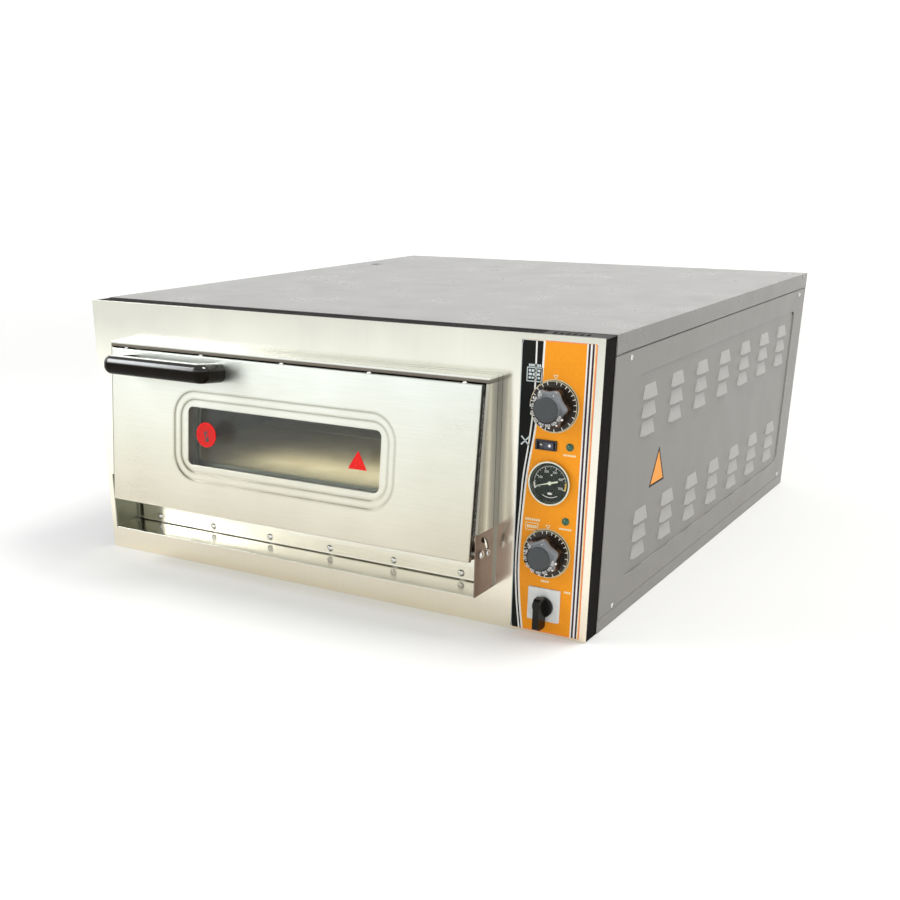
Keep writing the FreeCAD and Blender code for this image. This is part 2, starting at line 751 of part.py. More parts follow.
def side_pin(y, z, radius, head_radius, head, slot=0.0):
    """Pin through the right ear and bracket with a round head outside, slotted if asked."""
    shank = bar_x(y, z, ear_inner, surround_right + 0.4, radius)
    ball = Part.makeSphere(head_radius * 1.3, V(surround_right + head - head_radius * 1.3 + 0.4, y, z))
    cap = ball.common(bar_x(y, z, surround_right + 0.4, surround_right + 0.4 + head, head_radius))
    spacer = bar_x(y, z, ear_outer, surround_right - bracket_thick - 0.4, radius + 1.6)
    pin = joined([shank, cap, spacer])
    if slot:
        face = surround_right + 0.4 + head
        pin = pin.cut(box(face - 1.2, face + 1, y - slot / 2, y + slot / 2, z - 10, z + 10))
    return pin


def both_sides(piece):
    return group([mirror_x(piece, mouth_centre), piece])


def hinge_pivot_screws():
    return both_sides(side_pin(pivot_y, pivot_z, pivot_radius, 6.0, 4.2))


def hinge_guide_pins():
    pin = pin_centre()
    return both_sides(side_pin(pin.y, pin.z, 2.5, 4.6, 3.0, 1.2))


def window_markers():
    """A round and a three-cornered red mark on the outer pane."""
    front = door_front + glass_back
    disc = bar_y(window_left + 35.0, pivot_z + 113.3, front - 0.3, front, 19.0)
    apex_x = 538.0
    low = pivot_z + 94.7
    corners = [V(apex_x - 16, front - 0.3, low), V(apex_x + 16, front - 0.3, low),
               V(apex_x, front - 0.3, low + 27)]
    triangle = Part.Face(Part.makePolygon(corners + corners[:1])).extrude(V(0, 0.3, 0))
    return group([lean(disc), lean(triangle)])


# ---- controls ----------------------------------------------------------------------------------
def thermostats():
    """Capillary thermostats behind the fascia, with threaded necks round their shafts."""
    pair = []
    for z in (upper_knob_z, lower_knob_z):
        case = box(control_x - 22, control_x + 22, plate + 0.5, 36, z - 20, z + 20)
        neck = bar_y(control_x, z, -label_thick, plate + 0.5, 4.9)
        bore = bar_y(control_x, z, -2, 30.5, shaft_radius + running_gap)
        pair.append(joined([case, neck]).cut(bore))
    return group(pair)


def knob_shaft(z):
    return bar_y(control_x, z, -20.0, 30.0, shaft_radius)


def knob(z):
    """Thermostat knob: printed skirt, grip with hollows, sloped shoulder and raised cap."""
    front = knob_back - knob_skirt_thick
    skirt = bar_y(control_x, z, front, knob_back, knob_skirt)
    grip = bar_y(control_x, z, knob_shoulder, front, knob_lobe)
    slope = Part.makeCone(knob_lobe, knob_cap + 0.8, 3.4, V(control_x, knob_shoulder, z), V(0, -1, 0))
    cutter = 23.0
    cutters = []
    for i in range(knob_hollows):
        a = math.radians(knob_first_lobe + 360.0 / knob_hollows * (i + 0.5))
        reach = knob_hollow + cutter
        cutters.append(bar_y(control_x + reach * math.cos(a), z + reach * math.sin(a), -40, front, cutter))
    cap = bar_y(control_x, z, knob_shoulder - 5.9, knob_shoulder - 3.4, knob_cap)
    bore = bar_y(control_x, z, -20.0, 0, shaft_radius)
    return joined([skirt, grip.fuse(slope).cut(cutters), cap]).cut(bore)


def thermometer_case():
    """Dial thermometer: bezel in front of the fascia and a cup behind it."""
    bezel = bar_y(control_x, thermometer_z, -6.0, -label_thick, 30.2)
    opening = bar_y(control_x, thermometer_z, -8.0, dial_level, 26.6)
    glass_seat = bar_y(control_x, thermometer_z, -5.4, -4.0, 27.4)
    cup = bar_y(control_x, thermometer_z, -label_thick, 24.0, 25.8)
    arbor_bore = bar_y(control_x, thermometer_z, -3.0, 5.0, 0.8 + running_gap)
    return bezel.fuse(cup).cut([opening, glass_seat, arbor_bore]).removeSplitter()


def thermometer_glass():
    return bar_y(control_x, thermometer_z, -5.2, -4.2, 27.2)


def thermometer_needle():
    """Pointer on its arbor, drawn pointing to +X and then turned to its reading."""
    y0 = dial_level - 1.8
    y1 = dial_level - 1.1
    corners = [(-12.0, -1.3), (-12.0, 1.3), (0.0, 0.9), (20.0, 0.25), (20.0, -0.25), (0.0, -0.9)]
    outline = [V(control_x + a, y0, thermometer_z + b) for a, b in corners]
    blade = Part.Face(Part.makePolygon(outline + outline[:1])).extrude(V(0, y1 - y0, 0))
    hub = bar_y(control_x, thermometer_z, dial_level - 2.3, dial_level - 0.8, 2.6)
    arbor = bar_y(control_x, thermometer_z, dial_level - 1.0, 4.5, 0.8)
    needle = joined([blade, hub, arbor])
    needle.rotate(V(control_x, 0, thermometer_z), V(0, 1, 0), -needle_angle)
    return needle


def rocker_housing():
    bezel = plaque(rocker_x - 15.5, rocker_x + 15.5, -2.4, -label_thick,
                   rocker_z - 6.8, rocker_z + 6.8, 1.2)
    body = box(rocker_x - 13.6, rocker_x + 13.6, -label_thick, 20, rocker_z - 5.4, rocker_z + 5.4)
    well = box(rocker_x - 12.8, rocker_x + 12.8, -3, 9, rocker_z - 4.8, rocker_z + 4.8)
    return joined([bezel, body]).cut(well)


def rocker_actuator():
    """Rocker with its left side pressed in."""
    low = rocker_z - rocker_half
    outline = [V(rocker_x - 12, -1.6, low), V(rocker_x, -4.0, low), V(rocker_x + 12, -1.6, low),
               V(rocker_x + 10, 3.5, low), V(rocker_x - 10, 3.5, low)]
    body = Part.Face(Part.makePolygon(outline + outline[:1])).extrude(V(0, 0, 2 * rocker_half))
    body.rotate(V(rocker_x, 1.0, 0), V(0, 0, 1), -rocker_tilt)
    return body


def pilot_lamps():
    """Domed lamps pressed into the fascia."""
    lamps = []
    for z in lamp_levels:
        ball = Part.makeSphere(5.4, V(lamp_x, 1.6, z))
        dome = ball.common(box(lamp_x - 9, lamp_x + 9, -9, -1.4, z - 9, z + 9))
        rim = bar_y(lamp_x, z, -1.6, -label_thick, 5.2)
        body = bar_y(lamp_x, z, -label_thick, 16, 3.4)
        lamps.append(joined([rim, dome, body]))
    return group(lamps)


def cam_switch_plate():
    face = plaque(control_x - cam_half, control_x + cam_half, -3.0, -label_thick,
                  cam_z - cam_half, cam_z + cam_half, 2.0)
    hole = bar_y(control_x, cam_lever_z, -5, 1, 8.0)
    return face.makeChamfer(0.6, [e for e in face.Edges if e.BoundBox.YMax < -2.9]).cut(hole)


def cam_switch_body():
    body = box(control_x - 21, control_x + 21, plate + 0.5, 60, cam_z - 21, cam_z + 21)
    neck = bar_y(control_x, cam_lever_z, -2.8, plate + 0.5, 6.4)
    return joined([body, neck]).cut(bar_y(control_x, cam_lever_z, -5, 40.5, shaft_radius + running_gap))


def cam_switch_lever():
    """Pointer lever on its shaft, hanging down at rest: a round boss under a narrow wing."""
    boss_front = -9.0
    wing_front = -28.0
    low = cam_lever_z - 29.0
    long = 46.0
    boss = bar_y(control_x, cam_lever_z, boss_front, -3.5, cam_boss)
    boss = boss.makeFillet(2.0, [e for e in boss.Edges if e.BoundBox.YMax < boss_front + 0.1])
    grip = [V(control_x - 6.0, boss_front + 2, 0), V(control_x + 6.0, boss_front + 2, 0),
            V(control_x + 4.6, wing_front, 0), V(control_x - 4.6, wing_front, 0)]
    wing = Part.Face(Part.makePolygon(grip + grip[:1])).extrude(V(0, 0, long))
    wing = wing.translated(V(0, 0, low))
    keep = box(control_x - 10, control_x + 10, wing_front - 1, boss_front + 3, low, low + long)
    wing = wing.common(rounded(keep, V(1, 0, 0), 7.0)).common(rounded(keep, V(0, 1, 0), 4.0))
    shaft = bar_y(control_x, cam_lever_z, -3.5, 40.0, shaft_radius)
    return joined([boss, wing, shaft])


def terminal_block():
    """Six-way mains terminal block inside the rear of the control compartment."""
    base = box(770, 860, 930, 958, 10, 32)
    bays = [box(774 + 14.5 * i, 784.5 + 14.5 * i, 934, 954, 22, 33) for i in range(6)]
    feet = box(770, 860, 936, 952, plate, 10)
    return joined([base, feet]).cut(bays)


def cable_gland():
    """Inlet for the mains lead in the rear panel."""
    face = depth - seam
    flange = rounded(box(gland_x - 15, gland_x + 15, face, face + 5, gland_z - 15, gland_z + 15),
                     V(0, 1, 0), 8.0)
    cone = Part.makeCone(12, 10, 12, V(gland_x, face + 5, gland_z), V(0, 1, 0))
    neck = bar_y(gland_x, gland_z, face - 14, face, 9.8)
    return joined([flange, cone, neck]).cut(bar_y(gland_x, gland_z, face - 20, face + 20, 6.0))


# ---- write every node --------------------------------------------------------------------------
nodes = {
    "base_tray": base_tray(),
    "corner_posts": corner_posts(),
    "front_frame": front_frame(),
    "control_vent": control_vent(),
    "front_fascia": front_fascia(),
    "control_label": control_label(),
    "top_lid": top_lid(),
    "side_panel_right": side_panel(),
    "side_panel_screws": side_panel_screws(),
    "rear_panel": rear_panel(),
    "rear_panel_screws": rear_panel_screws(),
    "chamber_liner": chamber_liner(),
    "throat_frame": throat_frame(),
    "insulation_wrap": insulation_wrap(),
    "insulation_bottom": insulation_bottom(),
    "insulation_rear": insulation_rear(),
    "heat_shield": heat_shield(),
    "steam_flue": steam_flue(),
    "stone_slabs": stone_slabs(),
    "stone_rails": stone_rails(),
    "heating_elements_upper": group(hairpins(upper_level)),
    "heating_elements_lower": group(hairpins(lower_level)),
    "sensor_probes": sensor_probes(),
    "door_surround": door_surround(),
    "surround_flange": surround_flange(),
    "crumb_ledge": crumb_ledge(),
    "ledge_screws": ledge_screws(),
    "hinge_bracket_right": hinge_bracket(),
    "door_outer_panel": door_outer_panel(),
    "door_inner_pan": door_inner_pan(),
    "door_insulation": door_insulation(),
    "window_glass_outer": window_glass(glass_back),
    "window_glass_inner": window_glass(pan_back - door_skin - glass_thick),
    "window_frame": window_frame(),
    "window_markers": window_markers(),
    "door_gasket": door_gasket(),
    "door_top_screws": door_top_screws(),
    "door_handle": door_handle(),
    "handle_screws": handle_screws(),
    "hinge_ears": hinge_ears(),
    "hinge_pivot_screws": hinge_pivot_screws(),
    "hinge_guide_pins": hinge_guide_pins(),
    "thermostats": thermostats(),
    "upper_knob": knob(upper_knob_z),
    "lower_knob": knob(lower_knob_z),
    "upper_knob_shaft": knob_shaft(upper_knob_z),
    "lower_knob_shaft": knob_shaft(lower_knob_z),
    "thermometer_case": thermometer_case(),
    "thermometer_needle": thermometer_needle(),
    "thermometer_glass": thermometer_glass(),
    "rocker_housing": rocker_housing(),
    "rocker_actuator": rocker_actuator(),
    "pilot_lamps": pilot_lamps(),
    "cam_switch_plate": cam_switch_plate(),
    "cam_switch_body": cam_switch_body(),
    "cam_switch_lever": cam_switch_lever(),
    "terminal_block": terminal_block(),
    "cable_gland": cable_gland(),
}
nodes["side_panel_left"] = mirror_x(nodes["side_panel_right"], width / 2)
nodes["hinge_bracket_left"] = mirror_x(nodes["hinge_bracket_right"], mouth_centre)

os.makedirs("parts", exist_ok=True)
for name, shape in nodes.items():
    save(name, shape)
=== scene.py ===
import bpy
import bmesh
import math
from mathutils import Matrix, Vector

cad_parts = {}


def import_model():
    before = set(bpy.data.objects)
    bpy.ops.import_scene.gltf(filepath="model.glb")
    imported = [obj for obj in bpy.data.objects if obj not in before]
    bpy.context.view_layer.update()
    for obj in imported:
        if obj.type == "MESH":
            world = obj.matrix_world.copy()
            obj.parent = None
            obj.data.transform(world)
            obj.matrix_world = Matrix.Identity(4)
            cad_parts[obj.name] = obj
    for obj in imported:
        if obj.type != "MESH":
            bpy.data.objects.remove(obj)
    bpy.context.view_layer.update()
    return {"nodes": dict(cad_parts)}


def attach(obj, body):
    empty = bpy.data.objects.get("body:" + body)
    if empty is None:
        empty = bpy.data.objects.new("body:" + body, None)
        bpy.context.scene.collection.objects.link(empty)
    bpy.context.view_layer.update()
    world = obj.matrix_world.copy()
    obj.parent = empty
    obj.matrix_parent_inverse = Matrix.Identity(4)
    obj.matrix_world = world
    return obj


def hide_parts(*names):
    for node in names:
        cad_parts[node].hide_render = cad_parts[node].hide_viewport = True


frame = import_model()

# Places are given in millimetres from the cabinet's lower left front corner, as the cabinet is drawn;
# `at` turns them into the frame's metres.
CABINET_WIDTH = 880.0
CABINET_DEPTH = 1028.0
MM = 0.001


def at(x, y, z):
    return Vector((x - CABINET_WIDTH / 2, y - CABINET_DEPTH / 2, z)) * MM


# ---- finishes ----------------------------------------------------------------------------------
class Finish:
    """A node material on the Principled shader, with short calls for the nodes it needs."""

    def __init__(self, name, **sockets):
        self.material = bpy.data.materials.new(name)
        self.material.use_nodes = True
        self.tree = self.material.node_tree
        self.shader = next(n for n in self.tree.nodes if n.type == "BSDF_PRINCIPLED")
        self.where = self.tree.nodes.new("ShaderNodeTexCoord").outputs["Object"]
        self.normal = None
        for key, value in sockets.items():
            self.shader.inputs[key.replace("_", " ")].default_value = value

    def put(self, kind, inputs, **settings):
        node = self.tree.nodes.new("ShaderNode" + kind)
        for key, value in settings.items():
            setattr(node, key, value)
        for key, value in inputs.items():
            if isinstance(value, bpy.types.NodeSocket):
                self.tree.links.new(value, node.inputs[key])
            else:
                node.inputs[key].default_value = value
        return node

    def scaled(self, x, y, z):
        return self.put("VectorMath", {0: self.where, 1: (x, y, z)}, operation="MULTIPLY").outputs[0]

    def axis(self, name):
        return self.put("SeparateXYZ", {0: self.where}).outputs[name]

    def noise(self, scale, stretch=(1, 1, 1), detail=2.0, rough=0.5):
        inputs = {"Vector": self.scaled(*stretch), "Scale": scale, "Detail": detail, "Roughness": rough}
        return self.put("TexNoise", inputs).outputs["Fac"]

    def cells(self, scale, stretch=(1, 1, 1)):
        return self.put("TexVoronoi", {"Vector": self.scaled(*stretch), "Scale": scale}).outputs["Distance"]

    def span(self, value, low, high, to_low, to_high):
        inputs = {"Value": value, "From Min": low, "From Max": high, "To Min": to_low, "To Max": to_high}
        return self.put("MapRange", inputs).outputs["Result"]

    def math(self, operation, a, b):
        return self.put("Math", {0: a, 1: b}, operation=operation).outputs[0]

    def ramp(self, value, *stops):
        node = self.put("ValToRGB", {"Fac": value})
        elements = node.color_ramp.elements
        while len(elements) < len(stops):
            elements.new(0.5)
        for element, (place, colour) in zip(elements, stops):
            element.position = place
            element.color = (*colour, 1.0)
        return node.outputs["Color"]

    def times(self, a, b):
        node = self.put("Mix", {0: 1.0, 6: a, 7: b}, data_type="RGBA", blend_type="MULTIPLY")
        return node.outputs[2]

    def mixed(self, share, base, other):
        """Colour `base` with `other` laid over it by `share`; each is a plain colour or a socket."""
        base, other = [(*c, 1.0) if isinstance(c, tuple) else c for c in (base, other)]
        return self.put("Mix", {0: share, 6: base, 7: other}, data_type="RGBA").outputs[2]

    def facing(self):
        """X, Y and Z of the surface's own normal, on the object's axes."""
        return self.put("SeparateXYZ", {0: self.put("TexCoord", {}).outputs["Normal"]}).outputs

    def soft_edges(self, radius):
        """Round the look of sharp edges by this radius in metres."""
        self.normal = self.put("Bevel", {"Radius": radius}, samples=4).outputs["Normal"]

    def bump(self, height, distance, strength=1.0):
        inputs = {"Height": height, "Distance": distance, "Strength": strength}
        if self.normal is not None:
            inputs["Normal"] = self.normal
        self.normal = self.put("Bump", inputs).outputs["Normal"]

    def done(self, **links):
        if self.normal is not None:
            links["Normal"] = self.normal
        for key, value in links.items():
            self.tree.links.new(value, self.shader.inputs[key.replace("_", " ")])
        return self.material


def steel(name, low, high, roughness, grain, edge):
    """Stainless sheet: fine grain drawn along one direction, with faint clouding of its polish."""
    f = Finish(name, Metallic=1.0)
    f.soft_edges(edge)
    lines = f.noise(1.0, grain, 3.0, 0.65)
    cloud = f.noise(5.0, (1, 1, 1), 3.0, 0.6)
    smear = f.noise(38.0, (1, 1, 0.4), 3.0, 0.6)
    colour = f.ramp(lines, (0.25, low), (0.75, high))
    colour = f.times(colour, f.ramp(cloud, (0.3, (0.93, 0.93, 0.92)), (0.7, (1, 1, 1))))
    polish = f.math("ADD", f.span(lines, 0.3, 0.7, roughness - 0.03, roughness + 0.03),
                    f.span(cloud, 0.3, 0.7, -0.03, 0.03))
    polish = f.math("ADD", polish, f.span(smear, 0.35, 0.7, 0.0, 0.03))
    f.bump(lines, 0.00002, 0.6)
    f.bump(cloud, 0.0004, 0.15)
    return f.done(Base_Color=colour, Roughness=polish)


# painted reflection on the door by height in metres: beige low down, cooler above
DOOR_PAINTED_REFLECTION = ((0.105, (0.74, 0.68, 0.57)), (0.16, (0.82, 0.78, 0.68)), (0.24, (0.90, 0.89, 0.81)),
              (0.345, (0.95, 0.98, 0.95)))
# middle of the window and the pressed steps round it (half width, half height, corner radius), in metres
WINDOW_CENTRE = (-0.039, 0.228)
STEP_RINGS = ((0.20075, 0.0689, 0.042), (0.18925, 0.0569, 0.030))


def door_steel():
    """Door skin: grain across, painted beige reflection low down and painted shade along its two pressed
    steps.
    """
    f = Finish("door_steel", Metallic=1.0)
    f.soft_edges(0.003)
    lines = f.noise(1.0, (14, 1200, 1400), 3.0, 0.65)
    cloud = f.noise(5.0, (1, 1, 1), 3.0, 0.6)
    smear = f.noise(38.0, (1, 1, 0.4), 3.0, 0.6)
    colour = f.ramp(lines, (0.25, (0.80, 0.81, 0.78)), (0.75, (0.90, 0.91, 0.88)))
    colour = f.times(colour, f.ramp(cloud, (0.3, (0.93, 0.93, 0.92)), (0.7, (1, 1, 1))))
    # painted reflection: the door's colour is tinted by height, beige low down and cooler above
    level = f.math("ADD", f.axis("Z"), f.span(cloud, 0.3, 0.7, -0.012, 0.012))
    low_z, high_z = DOOR_PAINTED_REFLECTION[0][0], DOOR_PAINTED_REFLECTION[-1][0]
    stops = [((z - low_z) / (high_z - low_z), tint) for z, tint in DOOR_PAINTED_REFLECTION]
    colour = f.times(colour, f.ramp(f.span(level, low_z, high_z, 0.0, 1.0), *stops))
    across = f.math("ABSOLUTE", f.math("SUBTRACT", f.axis("X"), WINDOW_CENTRE[0]), 0.0)
    upward = f.math("ABSOLUTE", f.math("SUBTRACT", f.axis("Z"), WINDOW_CENTRE[1]), 0.0)
    # painted shade: a darker band along each pressed step round the window
    for half_wide, half_tall, radius in STEP_RINGS:
        u = f.math("MAXIMUM", f.math("SUBTRACT", across, half_wide - radius), 0.0)
        v = f.math("MAXIMUM", f.math("SUBTRACT", upward, half_tall - radius), 0.0)
        out = f.math("SQRT", f.math("ADD", f.math("MULTIPLY", u, u), f.math("MULTIPLY", v, v)), 0.0)
        inward, outward = 0.0055, 0.0030
        beside = f.span(out, radius - inward, radius + outward, 0.0, 1.0)
        shade = f.ramp(beside, (0.0, (1, 1, 1)), (0.35, (0.80, 0.79, 0.76)),
                       (0.65, (0.82, 0.81, 0.78)), (1.0, (1, 1, 1)))
        colour = f.times(colour, shade)
    polish = f.math("ADD", f.span(lines, 0.3, 0.7, 0.27, 0.33), f.span(cloud, 0.3, 0.7, -0.03, 0.03))
    polish = f.math("ADD", polish, f.span(smear, 0.35, 0.7, 0.0, 0.03))
    f.bump(lines, 0.00002, 0.6)
    f.bump(cloud, 0.0004, 0.15)
    return f.done(Base_Color=colour, Roughness=polish)


def fascia_steel():
    """Polished front with painted reflection: cooler and greener towards the top, warmer towards the base."""
    f = Finish("polished_steel", Metallic=1.0)
    f.soft_edges(0.0006)
    lines = f.noise(1.0, (1500, 1500, 14), 3.0, 0.65)
    cloud = f.noise(4.0, (1, 1, 0.8), 3.0, 0.6)
    level = f.math("ADD", f.axis("Z"), f.span(cloud, 0.3, 0.7, -0.05, 0.05))
    # painted reflection: tint of the steel by height
    painted_reflection_tone = f.ramp(f.span(level, 0.0, 0.42, 0.0, 1.0), (0.0, (0.96, 0.88, 0.72)), (0.22, (0.95, 0.89, 0.75)),
                  (0.55, (0.94, 0.90, 0.79)), (0.80, (0.84, 0.83, 0.74)), (1.0, (0.70, 0.70, 0.62)))
    colour = f.times(painted_reflection_tone, f.ramp(lines, (0.25, (0.93, 0.93, 0.93)), (0.75, (1, 1, 1))))
    polish = f.math("ADD", f.span(lines, 0.3, 0.7, 0.13, 0.19), f.span(cloud, 0.3, 0.7, -0.02, 0.05))
    f.bump(lines, 0.000012, 0.5)
    f.bump(cloud, 0.0006, 0.12)
    return f.done(Base_Color=colour, Roughness=polish)


# painted light and shade on enamel: lighter sloped pressings and up or forward edges, dark undersides and
# joint
SLOPE_PAINTED_LIGHT = (0.5, 0.49, 0.47)
EDGE_PAINTED_LIGHT = (0.40, 0.39, 0.37)
UNDERSIDE_PAINTED_SHADE = (0.012, 0.011, 0.010)
JOINT_PAINTED_SHADE = (0.008, 0.007, 0.006)


def enamel(name, colour, roughness, peel=0.00002, edge=0.0008, specular=0.5, flat=None, gap=None, fold=None):
    """Sprayed enamel on sheet: orange peel and faint mottling.

    `flat` is the axis that the sheet faces; pressings that slope off it get painted light, edges that
    face up or forwards get a paler painted light, and undersides get painted shade. Above the height `gap`
    the sheet gets painted shade where it lies in the joint under the lid; `fold` is a colour of painted shade
    for upright folds.
    """
    f = Finish(name, Specular_IOR_Level=specular)
    if edge:
        f.soft_edges(edge)
    mottle = f.noise(14.0, (1, 1, 1), 4.0, 0.6)
    dark = tuple(c * 0.94 for c in colour)
    base = f.ramp(mottle, (0.3, dark), (0.7, colour))
    normals = f.facing()
    if fold:
        # painted shade on upright folds
        base = f.mixed(f.span(normals["Z"], 0.3, 0.6, 1.0, 0.0), base, fold)
    if flat:
        facing = f.math("ABSOLUTE", normals[flat], 0.0)
        sloped = f.math("MULTIPLY", f.span(facing, 0.955, 0.99, 1.0, 0.0), f.span(facing, 0.3, 0.4, 0.0, 1.0))
        # painted light on pressings that slope off the sheet
        base = f.mixed(sloped, base, SLOPE_PAINTED_LIGHT)
        forwards = f.span(normals["Y"], -0.8, -0.4, 1.0, 0.0)
        upwards = f.span(normals["Z"], 0.75, 0.9, 0.0, 1.0)
        # painted light on edges that face up or forwards
        base = f.mixed(f.math("MAXIMUM", forwards, upwards), base, EDGE_PAINTED_LIGHT)
        # painted shade on undersides
        base = f.mixed(f.span(normals["Z"], -0.7, -0.5, 1.0, 0.0), base, UNDERSIDE_PAINTED_SHADE)
    if gap:
        # painted shade on the sheet in the joint under the lid
        base = f.mixed(f.span(f.axis("Z"), gap, gap + 0.0004, 0.0, 1.0), base, JOINT_PAINTED_SHADE)
    polish = f.span(mottle, 0.3, 0.7, roughness - 0.04, roughness + 0.05)
    if peel:
        f.bump(f.noise(420.0, (1, 1, 1), 2.0, 0.5), peel, 0.5)
    return f.done(Base_Color=base, Roughness=polish)


def galvanised():
    f = Finish("zinc_sheet", Metallic=1.0)
    f.soft_edges(0.0005)
    spangle = f.cells(90.0)
    colour = f.ramp(spangle, (0.0, (0.44, 0.45, 0.47)), (0.8, (0.62, 0.63, 0.64)))
    f.bump(spangle, 0.00005, 0.3)
    return f.done(Base_Color=colour, Roughness=f.span(spangle, 0.0, 0.9, 0.32, 0.5))


def heat_toned():
    """Aluminised chamber sheet, browned by heat."""
    f = Finish("chamber_sheet", Metallic=1.0)
    f.soft_edges(0.0006)
    stain = f.noise(9.0, (1, 1, 1), 5.0, 0.65)
    colour = f.ramp(stain, (0.25, (0.26, 0.23, 0.19)), (0.75, (0.50, 0.48, 0.44)))
    f.bump(f.noise(300.0), 0.00003, 0.4)
    return f.done(Base_Color=colour, Roughness=f.span(stain, 0.2, 0.8, 0.36, 0.56))


def refractory():
    f = Finish("stone", Specular_IOR_Level=0.2)
    grain = f.noise(260.0, (1, 1, 1), 5.0, 0.7)
    patch = f.noise(16.0, (1, 1, 1), 4.0, 0.6)
    pores = f.cells(330.0)
    colour = f.ramp(patch, (0.25, (0.60, 0.50, 0.34)), (0.75, (0.78, 0.69, 0.51)))
    colour = f.times(colour, f.ramp(grain, (0.3, (0.80, 0.78, 0.74)), (0.6, (1, 1, 1))))
    f.bump(grain, 0.0003, 0.6)
    f.bump(pores, 0.0003, 0.3)
    return f.done(Base_Color=colour, Roughness=f.span(grain, 0.2, 0.8, 0.8, 0.98))


def mineral_wool():
    f = Finish("wool", Specular_IOR_Level=0.1)
    fibre = f.noise(120.0, (1, 3.0, 8.0), 6.0, 0.75)
    colour = f.ramp(fibre, (0.25, (0.45, 0.38, 0.24)), (0.7, (0.72, 0.66, 0.48)))
    f.bump(fibre, 0.002, 0.8)
    return f.done(Base_Color=colour, Roughness=f.span(fibre, 0.2, 0.8, 0.9, 1.0))


def braid_fibre():
    f = Finish("braid", Specular_IOR_Level=0.25, Sheen_Weight=0.3)
    yarn = f.noise(700.0, (1, 1, 3.0), 4.0, 0.7)
    soil = f.noise(30.0, (1, 1, 1), 3.0, 0.6)
    bead = f.cells(1.0, (260, 260, 420))
    colour = f.ramp(yarn, (0.25, (0.70, 0.67, 0.64)), (0.7, (0.98, 0.96, 0.93)))
    # painted shade: darker between the beads of the plait
    colour = f.times(colour, f.ramp(bead, (0.25, (1, 1, 1)), (0.60, (0.30, 0.28, 0.26))))
    colour = f.times(colour, f.ramp(soil, (0.3, (0.82, 0.80, 0.78)), (0.7, (1, 1, 1))))
    f.bump(yarn, 0.0002, 0.6)
    return f.done(Base_Color=colour, Roughness=f.span(yarn, 0.2, 0.8, 0.75, 0.95))


def oxidised():
    f = Finish("element_sheath", Metallic=0.8)
    scale = f.noise(120.0, (1, 1, 1), 4.0, 0.7)
    colour = f.ramp(scale, (0.3, (0.08, 0.07, 0.07)), (0.7, (0.22, 0.20, 0.19)))
    f.bump(scale, 0.00008, 0.5)
    return f.done(Base_Color=colour, Roughness=f.span(scale, 0.2, 0.8, 0.45, 0.7))


def moulded(name, colour, roughness, coat=0.0, grain=0.00002, grain_scale=900.0, edge=0.0005, specular=0.5):
    """Moulded plastic with a fine surface grain and slight wear of its gloss."""
    f = Finish(name, Coat_Weight=coat, Coat_Roughness=0.06, Specular_IOR_Level=specular)
    f.soft_edges(edge)
    fine = f.noise(grain_scale, (1, 1, 1), 2.0, 0.5)
    rub = f.noise(60.0, (1, 1, 1), 4.0, 0.65)
    base = f.ramp(rub, (0.3, tuple(c * 0.86 for c in colour)), (0.7, colour))
    f.bump(fine, grain, 0.4)
    polish = f.span(rub, 0.3, 0.7, max(roughness - 0.04, 0.03), roughness + 0.05)
    return f.done(Base_Color=base, Roughness=polish)


def handle_black():
    """Black moulding with a painted highlight: stronger specular on its upper front, weaker below."""
    f = Finish("handle_plastic", Specular_IOR_Level=0.3)
    f.soft_edges(0.0008)
    fine = f.noise(900.0, (1, 1, 1), 2.0, 0.5)
    rub = f.noise(60.0, (1, 1, 1), 4.0, 0.65)
    up = f.facing()["Z"]
    base = f.ramp(rub, (0.3, (0.006, 0.004, 0.002)), (0.7, (0.007, 0.005, 0.003)))
    f.bump(fine, 0.00001, 0.4)
    # painted highlight: specular strength follows the face's upward normal, high on upward faces
    return f.done(Base_Color=base, Roughness=f.span(rub, 0.3, 0.7, 0.13, 0.18),
                  Specular_IOR_Level=f.span(up, 0.15, 0.45, 0.08, 0.95))


def knob_shoulder():
    """Glossy moulding whose shoulder is painted paler on its upper right side: a painted reflection."""
    f = Finish("knob_grey", Specular_IOR_Level=0.4)
    f.soft_edges(0.0005)
    rub = f.noise(60.0, (1, 1, 1), 4.0, 0.65)
    facing = f.facing()
    # painted reflection: paler where the shoulder faces up and to the right
    turned = f.math("ADD", f.math("MULTIPLY", facing["X"], 0.55), f.math("MULTIPLY", facing["Z"], 0.75))
    turned = f.math("ADD", turned, f.span(rub, 0.3, 0.7, -0.04, 0.04))
    base = f.ramp(f.span(turned, -0.25, 0.40, 0.0, 1.0), (0.0, (0.012, 0.012, 0.012)),
                  (0.35, (0.030, 0.032, 0.034)), (0.65, (0.12, 0.13, 0.14)), (1.0, (0.22, 0.235, 0.25)))
    f.bump(f.noise(900.0), 0.00002, 0.4)
    return f.done(Base_Color=base, Roughness=f.span(rub, 0.3, 0.7, 0.22, 0.30))


def clear_glass(name, tint, haze, ior=1.46):
    """Sheet glass with a faint film of grease; light from the lamps goes straight through it."""
    f = Finish(name, Transmission_Weight=1.0, IOR=ior, Base_Color=(*tint, 1.0))
    film = f.noise(12.0, (1, 1, 1), 4.0, 0.6)
    material = f.done(Roughness=f.span(film, 0.35, 0.75, min(haze, 0.004), haze))
    path = f.put("LightPath", {})
    straight = f.put("BsdfTransparent", {0: (*tint, 1.0)})
    shadow = path.outputs["Is Shadow Ray"]
    mix = f.put("MixShader", {0: shadow, 1: f.shader.outputs[0], 2: straight.outputs[0]})
    out = next(n for n in f.tree.nodes if n.type == "OUTPUT_MATERIAL")
    f.tree.links.new(mix.outputs[0], out.inputs["Surface"])
    return material


